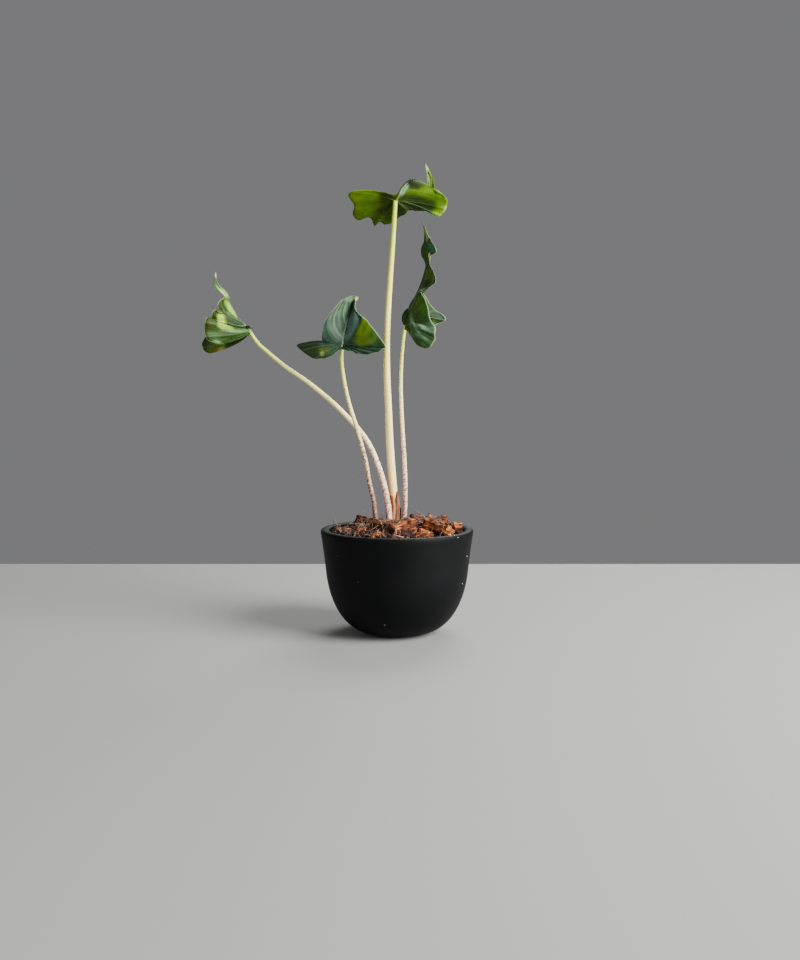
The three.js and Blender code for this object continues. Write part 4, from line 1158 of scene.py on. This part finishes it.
def leaf_finish(name, rib_colour, vein_colour, vein_strength, pale_rim_and_highlight_strength, gloss, through):
    """A leaf face: its paint, with veins, midrib, margin and a share of light through it."""
    material = new_material(name)
    paint = add_node(material, "Attribute", {"attribute_name": "paint"})
    rib_mm, margin_mm, clarity = [
        add_node(material, "Attribute", {"attribute_name": layer}).outputs["Fac"]
        for layer in ("rib_mm", "margin_mm", "vein_clarity")
    ]
    place = add_node(material, "TexCoord").outputs["Object"]
    flat = add_node(material, "UVMap", {"uv_map": UV_NAME})
    phase = add_node(material, "SeparateXYZ", values=[flat]).outputs["X"]

    mottle = add_node(material, "TexNoise", Vector=place, Scale=per_metre(CELL_MOTTLE), Detail=5.0)
    brightness = add_node(
        material, "MapRange", Value=mottle, From_Min=0.3, From_Max=0.7, To_Min=0.82, To_Max=1.2
    )
    mottled = add_node(material, "HueSaturation", Color=paint, Value=brightness)

    wavering = add_node(material, "Math", MULTIPLY_ADD, [phase, FINE_VEINS, mottle])
    from_fine = add_node(material, "Math", {"operation": "PINGPONG"}, [wavering, 0.5])
    fine_veins = add_node(
        material, "MapRange", Value=from_fine, From_Max=0.16, To_Min=0.45 * vein_strength, To_Max=0.0
    )
    from_vein = add_node(material, "Math", {"operation": "PINGPONG"}, [phase, 0.5])
    veins = add_node(
        material, "MapRange", SMOOTH, Value=from_vein, From_Min=0.4 * VEIN_HALF_WIDTH,
        From_Max=1.6 * VEIN_HALF_WIDTH, To_Min=vein_strength, To_Max=0.0,
    )
    lines = add_node(material, "Math", {"operation": "MAXIMUM"}, [veins, fine_veins])
    clear_lines = add_node(material, "Math", {"operation": "MULTIPLY"}, [lines, clarity])
    rib = add_node(
        material, "MapRange", SMOOTH, Value=rib_mm, From_Min=0.15, From_Max=0.9, To_Min=0.85,
        To_Max=0.0,
    )
    # The pale margin line is partly the edge's own colour and partly a painted highlight.
    margin = add_node(
        material, "MapRange", SMOOTH, Value=margin_mm, From_Min=0.1, From_Max=0.55,
        To_Min=pale_rim_and_highlight_strength, To_Max=0.0,
    )
    clear_margin = add_node(material, "Math", {"operation": "MULTIPLY"}, [margin, clarity])

    colour = mottled
    layers = [(clear_lines, vein_colour), (rib, rib_colour), (clear_margin, "#adbf96")]
    for share, paler in layers:
        colour = add_node(material, "Mix", COLOUR_MIX, [share, colour, linear(paler)])
    heights = add_node(material, "Math", {"operation": "ADD"}, [clear_lines, mottle])
    glow = add_node(material, "HueSaturation", Color=colour, Hue=0.485, Saturation=1.15, Value=1.6)
    end_material(
        material, heights, 0.35, 0.25, glow, through,
        Base_Color=colour, Roughness=0.46, Specular_IOR_Level=gloss,
    )
    return material


# %% Dress the leaves
FACES = {
    "bright": [
        leaf_finish("young_leaf_upper", "#8fae5c", "#7c9440", 0.22, 0.06, 0.3, 0.3),
        leaf_finish("young_leaf_under", "#7b9a4a", "#6f8a30", 0.2, 0.06, 0.18, 0.3),
    ],
    "dark": [
        leaf_finish("grown_leaf_upper", "#8da194", "#64826a", 0.32, 0.55, 0.14, 0.12),
        leaf_finish("grown_leaf_under", "#93ab70", "#6a8750", 0.28, 0.55, 0.1, 0.14),
    ],
}
LEAF_KINDS = {"top": "bright", "mid_left": "dark", "far_left": "dark", "right": "dark"}
for name, kind in LEAF_KINDS.items():
    leaf_mesh = leaf_shape(name, LEAVES[name])
    finish_piece(f"blade_{name}", leaf_mesh, FACES[kind], f"leaf_{kind}", f"leaf_{name}")

# %% [markdown]
# The pot is filled with coconut husk, chopped into chunks and dried. A chunk is a torn block of
# parallel fibres: ridged along its grain, frayed at its ends, dark red-brown inside and lighter
# orange where it was cut. Each chunk starts as a block, is cut into a fine mesh and is then pushed
# about by noise that runs along the grain. The large ones stand where the frame has them, and a
# seeded rule spreads the rest.

# %% Husk chunk rule
LARGE_CHIPS = [
    {"at": (3, -23, 70.5), "size": (17, 12, 13), "turn": (10, -8, 25), "shade": 0.5},
    {"at": (23, -15, 70.5), "size": (14, 12, 13), "turn": (15, 12, -20), "shade": 0.38},
    {"at": (32, -20, 68.5), "size": (8, 7, 7), "turn": (-15, 30, 40), "shade": 0.72},
    {"at": (39, -8, 69.5), "size": (6, 6, 6), "turn": (30, 10, 10), "shade": 0.7},
    {"at": (-13, -33, 67), "size": (7, 6, 5), "turn": (25, -20, 30), "shade": 0.75},
    {"at": (-21, 19, 69.5), "size": (16, 10, 8), "turn": (-12, 10, 15), "shade": 0.35},
    {"at": (-33, -12, 67), "size": (15, 7, 5), "turn": (8, -12, -25), "shade": 0.45},
    {"at": (-21, -16, 68), "size": (13, 7, 7), "turn": (-10, 12, 20), "shade": 0.3},
    {"at": (14, 12, 70.5), "size": (12, 10, 9), "turn": (15, 18, 50), "shade": 0.15},
    {"at": (28, 15, 70), "size": (12, 9, 8), "turn": (-12, -10, 25), "shade": 0.3},
    {"at": (-11, -16, 71), "size": (10, 8, 10), "turn": (20, 15, 50), "shade": 0.2},
    {"at": (-4, -13, 71), "size": (8, 6, 9), "turn": (-10, 8, -15), "shade": 0.25},
    {"at": (9, -4, 70), "size": (9, 8, 8), "turn": (12, 20, 35), "shade": 0.25},
    {"at": (16, -33, 67), "size": (9, 7, 6), "turn": (12, -25, 5), "shade": 0.55},
]
CHIP_COUNT = 38
CHIP_FIELD = 38
CHIP_LENGTHS = (7, 12)
CRUMB_COUNT = 190
CRUMB_FIELD = 42
CRUMB_LENGTHS = (2, 5)
CRUMB_SEED = 60
LONG_CHIP = 10
LONG_CUTS, CHIP_CUTS, CRUMB_CUTS = 11, 8, 3
BED_TOP = [(44, 63.5), (24, 67), (0, 69)]
BOWL_RADIUS = 43.2
GOLDEN_ANGLE = math.pi * (3 - math.sqrt(5))


def draw(number):
    """A repeatable number from 0 to 1 for each whole number."""
    wave = math.sin(number * 12.9898 + 4.1414) * 43758.5453
    return wave - math.floor(wave)


def bed_height(radius):
    """The height of the husk bed at a distance from the pot's axis."""
    inner = 2 if radius < BED_TOP[1][0] else 1
    (far, far_z), (near, near_z) = BED_TOP[inner - 1], BED_TOP[inner]
    return near_z + (far_z - near_z) * (radius - near) / (far - near)


def on_bed(angle, radius, lift):
    """A place at a height above the bed."""
    return (radius * math.cos(angle), radius * math.sin(angle), bed_height(radius) + lift)


def left_darkening(angle):
    """The chips on the left are darker, by this much."""
    return -0.95 * max(0.0, -math.cos(angle - 0.3))


def spread_chip(number):
    """A chunk of the ones spread evenly over the bed by the golden angle."""
    angle = number * GOLDEN_ANGLE
    radius = CHIP_FIELD * math.sqrt((number + 0.5) / CHIP_COUNT)
    length = between(*CHIP_LENGTHS, draw(number))
    lift, wide, high, roll, pitch, yaw, shade = [draw(number + 100 * i) for i in range(1, 8)]
    return {
        "at": on_bed(angle, radius, 1.2 * lift),
        "size": (length, length * (0.55 + 0.3 * wide), length * (0.45 + 0.2 * high)),
        "turn": (50 * roll - 25, 50 * pitch - 25, 360 * yaw),
        "shade": 0.65 * shade + left_darkening(angle),
    }


# %% [markdown]
# Crumbs fill the gaps between chunks. They use the same block, only smaller and coarser, and lie
# anywhere on the bed. No chunk or crumb may sit inside a stalk, so each corner that comes near one
# is pushed out to its skin, and corners at the wall are pushed back inside the bowl.

# %% Husk chunk shape
STALK_CLEARANCE = 0.25
SECTION_STEPS = 400
HUSK_TOP = 84


def stalk_sections():
    """Each stalk's centre and radius at the heights where husk can touch it."""
    sections = []
    for stalk in STALKS.values():
        trail = curve_trail(vectors(stalk["points"]), SECTION_STEPS)
        sections.append(([point for point in trail if point.z < HUSK_TOP], stalk["radii"][0]))
    return sections


SECTIONS = stalk_sections()


def clear_of_neighbours(place):
    """Pushes a corner out of the stalks and back from the pot's wall."""
    for trail, radius in SECTIONS:
        nearest = min(trail, key=lambda point: abs(point.z - place.z))
        away = Vector((place.x - nearest.x, place.y - nearest.y, 0))
        room = radius + STALK_CLEARANCE
        if 0 < away.length < room:
            place += away.normalized() * (room - away.length)
    out = math.hypot(place.x, place.y)
    if out > BOWL_RADIUS:
        place.x *= BOWL_RADIUS / out
        place.y *= BOWL_RADIUS / out
    return place


def husk_chunk(bm, chip, seed, cuts):
    """Adds one torn block of husk."""
    grain, shade = bm.verts.layers.float_vector["grain"], bm.verts.layers.float["shade"]
    first = len(bm.verts)
    size = chip["size"]
    corners = bmesh.ops.create_cube(bm, size=1)["verts"]
    for corner in corners:
        ends = [side > 0 for side in corner.co]
        number = ends[0] + 2 * ends[1] + 4 * ends[2]
        for axis in range(3):
            corner.co[axis] *= size[axis] * (0.72 + 0.28 * draw(24 * seed + 3 * number + axis))
    edges = list(dict.fromkeys(edge for corner in corners for edge in corner.link_edges))
    bmesh.ops.subdivide_edges(bm, edges=edges, cuts=cuts, use_grid_fill=True)
    bm.verts.ensure_lookup_table()
    block = bm.verts[first:]
    shift = Vector((17.3, 5.1, 9.7)) * seed
    amount = min(1.0, size[0] / 9)
    turn = Euler([math.radians(angle) for angle in chip["turn"]], "ZYX").to_matrix()
    for corner in block:
        spot = corner.co.copy()
        outward = Vector([spot[axis] / size[axis] for axis in range(3)]).normalized()
        lump = 1.3 * noise.noise(spot * 0.22 + shift)
        ridge = 0.9 * noise.noise(Vector((spot.x * 0.16, spot.y * 1.0, spot.z * 1.0)) + shift)
        fray = 1.5 * noise.noise(Vector((0, spot.y * 1.4, spot.z * 1.4)) + shift)
        end = max(0.0, abs(spot.x) / (0.42 * size[0]) - 0.75)
        moved = spot + outward * amount * (lump + ridge)
        moved.x += math.copysign(amount * fray * end, spot.x)
        corner[grain] = spot + shift
        placed = turn @ moved + Vector(chip["at"])
        # Painted shade: each chunk is darker towards its underside, in the crevices, and a little
        # lighter on top.
        painted_shade_by_height = min(0.4, max(-1.0, 2 * (placed.z - chip["at"][2]) / size[2]))
        corner[shade] = chip["shade"] + 0.4 * painted_shade_by_height
        corner.co = clear_of_neighbours(placed)


def crumb(number):
    """A crumb of husk, dropped anywhere on the bed by a seeded draw."""
    draws = [draw(number + 1300 + 200 * i) for i in range(8)]
    turn, out, long, lift, roll, pitch, yaw, shade = draws
    angle = math.tau * turn
    length = between(*CRUMB_LENGTHS, long)
    return {
        "at": on_bed(angle, CRUMB_FIELD * math.sqrt(out), 0.5 + 3.2 * lift),
        "size": (length, length * 0.6, length * 0.45),
        "turn": (360 * roll, 70 * pitch - 35, 360 * yaw),
        "shade": 0.85 * shade + left_darkening(angle),
    }


# %% Fill the pot with husk
husk_shape = bmesh.new()
grain_layer = husk_shape.verts.layers.float_vector.new("grain")
shade_layer = husk_shape.verts.layers.float.new("shade")
chips = LARGE_CHIPS + [spread_chip(number) for number in range(CHIP_COUNT)]
for seed, chip in enumerate(chips):
    cuts = LONG_CUTS if chip["size"][0] > LONG_CHIP else CHIP_CUTS
    husk_chunk(husk_shape, chip, seed, cuts)
for number in range(CRUMB_COUNT):
    husk_chunk(husk_shape, crumb(number), CRUMB_SEED + number, CRUMB_CUTS)
print("husk corners", len(husk_shape.verts))

# %% [markdown]
# Below the chunks lies a packed bed of dust and short fibre. It is a closed lathe shape that just
# clears the bowl, with its top roughened. It is painted nearly black, as painted shade for the gaps
# between chunks.

# %% Husk bed
BED_OUTLINE = [
    (0, 6.3), (13, 6.4), (24, 9), (32, 15.8), (36.8, 24.8), (39.8, 35.2), (41.6, 48.2),
    (43.1, 61.3), (43.2, 63.4), (34, 64.6), (24, 66), (12, 67.4), (0, 68),
]
BED_STEPS = 90
BED_SIDES = 120
BED_TOP_FROM = 0.66  # the share of the outline after which it is the top
# The bed's painted shade: a tone this much darker, for the shadowed gaps between chunks.
BED_PAINTED_SHADE = -0.25
BED_ROUGHNESS = 1.1
CALM_RADIUS, CALM_WIDTH = 43, 4  # flat at this radius, and fully rough this far inside it

bed_points = [Vector((radius, 0, z)) for radius, z in BED_OUTLINE]


def packed_bed(corner, across, along):
    """Bends a grid round the pot's axis as the bed's outline, rough on top."""
    spot = curve_point(bed_points, along)
    turn = math.tau * across
    radius = max(0.0, spot.x) if 0 < along < 1 else 0.0
    corner.co = Vector((radius * math.cos(turn), radius * math.sin(turn), spot.z))
    if along > BED_TOP_FROM:
        calm = min(1, (CALM_RADIUS - radius) / CALM_WIDTH)
        corner.co.z += BED_ROUGHNESS * noise.noise(corner.co * 0.45) * calm
    corner[grain_layer] = corner.co * 1.3
    corner[shade_layer] = BED_PAINTED_SHADE


bed = mapped_grid(husk_shape, BED_SIDES, BED_STEPS, packed_bed, lambda across, along: (across, along))
bmesh.ops.recalc_face_normals(husk_shape, faces=bed)

# %% [markdown]
# Loose fibres lie over everything, as in any bag of husk. Most lie nearly flat, more of them on
# the left, where the husk is stringy, and about one in eight stands up like a hair. Each is a thin
# three-sided tube along a short bent curve. They are seeded, so each run gives the same tangle.

# %% Loose fibres
FIBRE_COUNT = 760
FIBRE_LENGTHS = (5, 15)
FIBRE_RADIUS = 0.22
FIBRE_STEPS, FIBRE_SIDES = 6, 3
STANDING_SHARE = 0.12
STRINGY_ARC = (2.7, 4.5)
MIDDLE_FREE = 10
FIBRE_FIELD = 41
ABOVE_HUSK = 95

fibre_shape = bmesh.new()
fibre_grain = fibre_shape.verts.layers.float_vector.new("grain")
fibre_shade = fibre_shape.verts.layers.float.new("shade")
rng = random.Random(11)
husk_tree = BVHTree.FromBMesh(husk_shape)


def husk_top(place):
    """The height of the husk below a place, or the bed's own where a ray slips past."""
    hit = husk_tree.ray_cast(Vector((place.x, place.y, ABOVE_HUSK)), Vector((0, 0, -1)))[0]
    return hit.z if hit else bed_height(math.hypot(place.x, place.y))


for number in range(FIBRE_COUNT):
    stringy = number % 5 < 3
    angle = rng.uniform(*STRINGY_ARC) if stringy else rng.uniform(0, math.tau)
    radius = rng.uniform(MIDDLE_FREE, FIBRE_FIELD) if stringy else FIBRE_FIELD * math.sqrt(rng.random())
    standing = rng.random() < STANDING_SHARE
    length = rng.uniform(*FIBRE_LENGTHS) * (0.6 if standing else 1)
    heading = rng.uniform(0, math.tau)
    climb = rng.uniform(0.5, 1.3) if standing else 0.05
    start = Vector((radius * math.cos(angle), radius * math.sin(angle), 0))
    ahead = Vector((math.cos(heading), math.sin(heading), 0))
    bend = ahead.orthogonal().normalized() * rng.uniform(-0.35, 0.35)
    bend.z = 0
    path = []
    for step in (0, 0.35, 0.7, 1):
        spot = clear_of_neighbours(start + (ahead * step + bend * step**2) * length)
        spot.z = husk_top(start if standing else spot) + 0.15 + climb * length * step
        path.append(spot)
    thick = FIBRE_RADIUS * rng.uniform(0.6, 1.5) * (0.7 if standing else 1)
    tone = rng.uniform(0.25, 1) if stringy else rng.uniform(0.1, 1)
    hair = tube(fibre_shape, path, lambda along: thick * (1 - 0.6 * along), FIBRE_STEPS, FIBRE_SIDES)
    for corner in hair:
        corner[fibre_grain] = corner.co + Vector((number * 3.1, 0, 0))
        corner[fibre_shade] = tone
bmesh.ops.recalc_face_normals(fibre_shape, faces=fibre_shape.faces)

# %% [markdown]
# Husk is matted fibre and pith. Its fibres are about 0.3 mm thick, drawn here at 0.55 mm so that
# they show. The grain attribute holds each corner's place inside its own chunk, so noise stretched
# along x runs along every chunk's grain, however it lies. The shade attribute moves a chunk
# between dark pith and freshly cut orange, and also carries painted shade: the lower side of each
# chunk and the bed below are painted darker. Chips on the left are darker too.

# %% Husk finish
FIBRE_SPACING = 0.55
FIBRE_RUN = 6.5
PITH_PATCH = 3.2

husk = new_material("dried_coconut_husk")
grain = add_node(husk, "Attribute", {"attribute_name": "grain"}).outputs["Vector"]
shade = add_node(husk, "Attribute", {"attribute_name": "shade"}).outputs["Fac"]
fibre_sizes = (FIBRE_RUN, FIBRE_SPACING, FIBRE_SPACING)
fibres = stretched_noise(husk, grain, fibre_sizes, Detail=4.0, Roughness=0.65)
patches = add_node(husk, "TexNoise", Vector=grain, Scale=1 / PITH_PATCH, Detail=3.0)
tone = add_node(husk, "Math", MULTIPLY_ADD, [shade, 0.42, -0.9])
tone = add_node(husk, "Math", MULTIPLY_ADD, [fibres, 1.5, tone])
tone = add_node(husk, "Math", MULTIPLY_ADD, [patches, 0.95, tone])
husk_stops = [
    (0.32, "#0c0504"), (0.48, "#2e150b"), (0.6, "#5e2c15"), (0.74, "#9a5224"),
    (0.88, "#d08034"), (1.0, "#ecae64"),
]
colour = add_node(husk, "ValToRGB", Fac=tone, stops=husk_stops)
end_material(husk, fibres, 1.0, 0.6, Base_Color=colour, Roughness=0.88, Specular_IOR_Level=0.3)
finish_piece("husk_chunks", husk_shape, [husk], "husk", "potting_mix")

fibre_finish = new_material("loose_husk_fibre")
shade = add_node(fibre_finish, "Attribute", {"attribute_name": "shade"}).outputs["Fac"]
strand_stops = [(0.0, "#20120b"), (0.5, "#4e3222"), (0.85, "#825a3e"), (1.0, "#c29c76")]
strand = add_node(fibre_finish, "ValToRGB", Fac=shade, stops=strand_stops)
end_material(fibre_finish, Base_Color=strand, Roughness=0.7)
finish_piece("husk_fibres", fibre_shape, [fibre_finish], "husk")
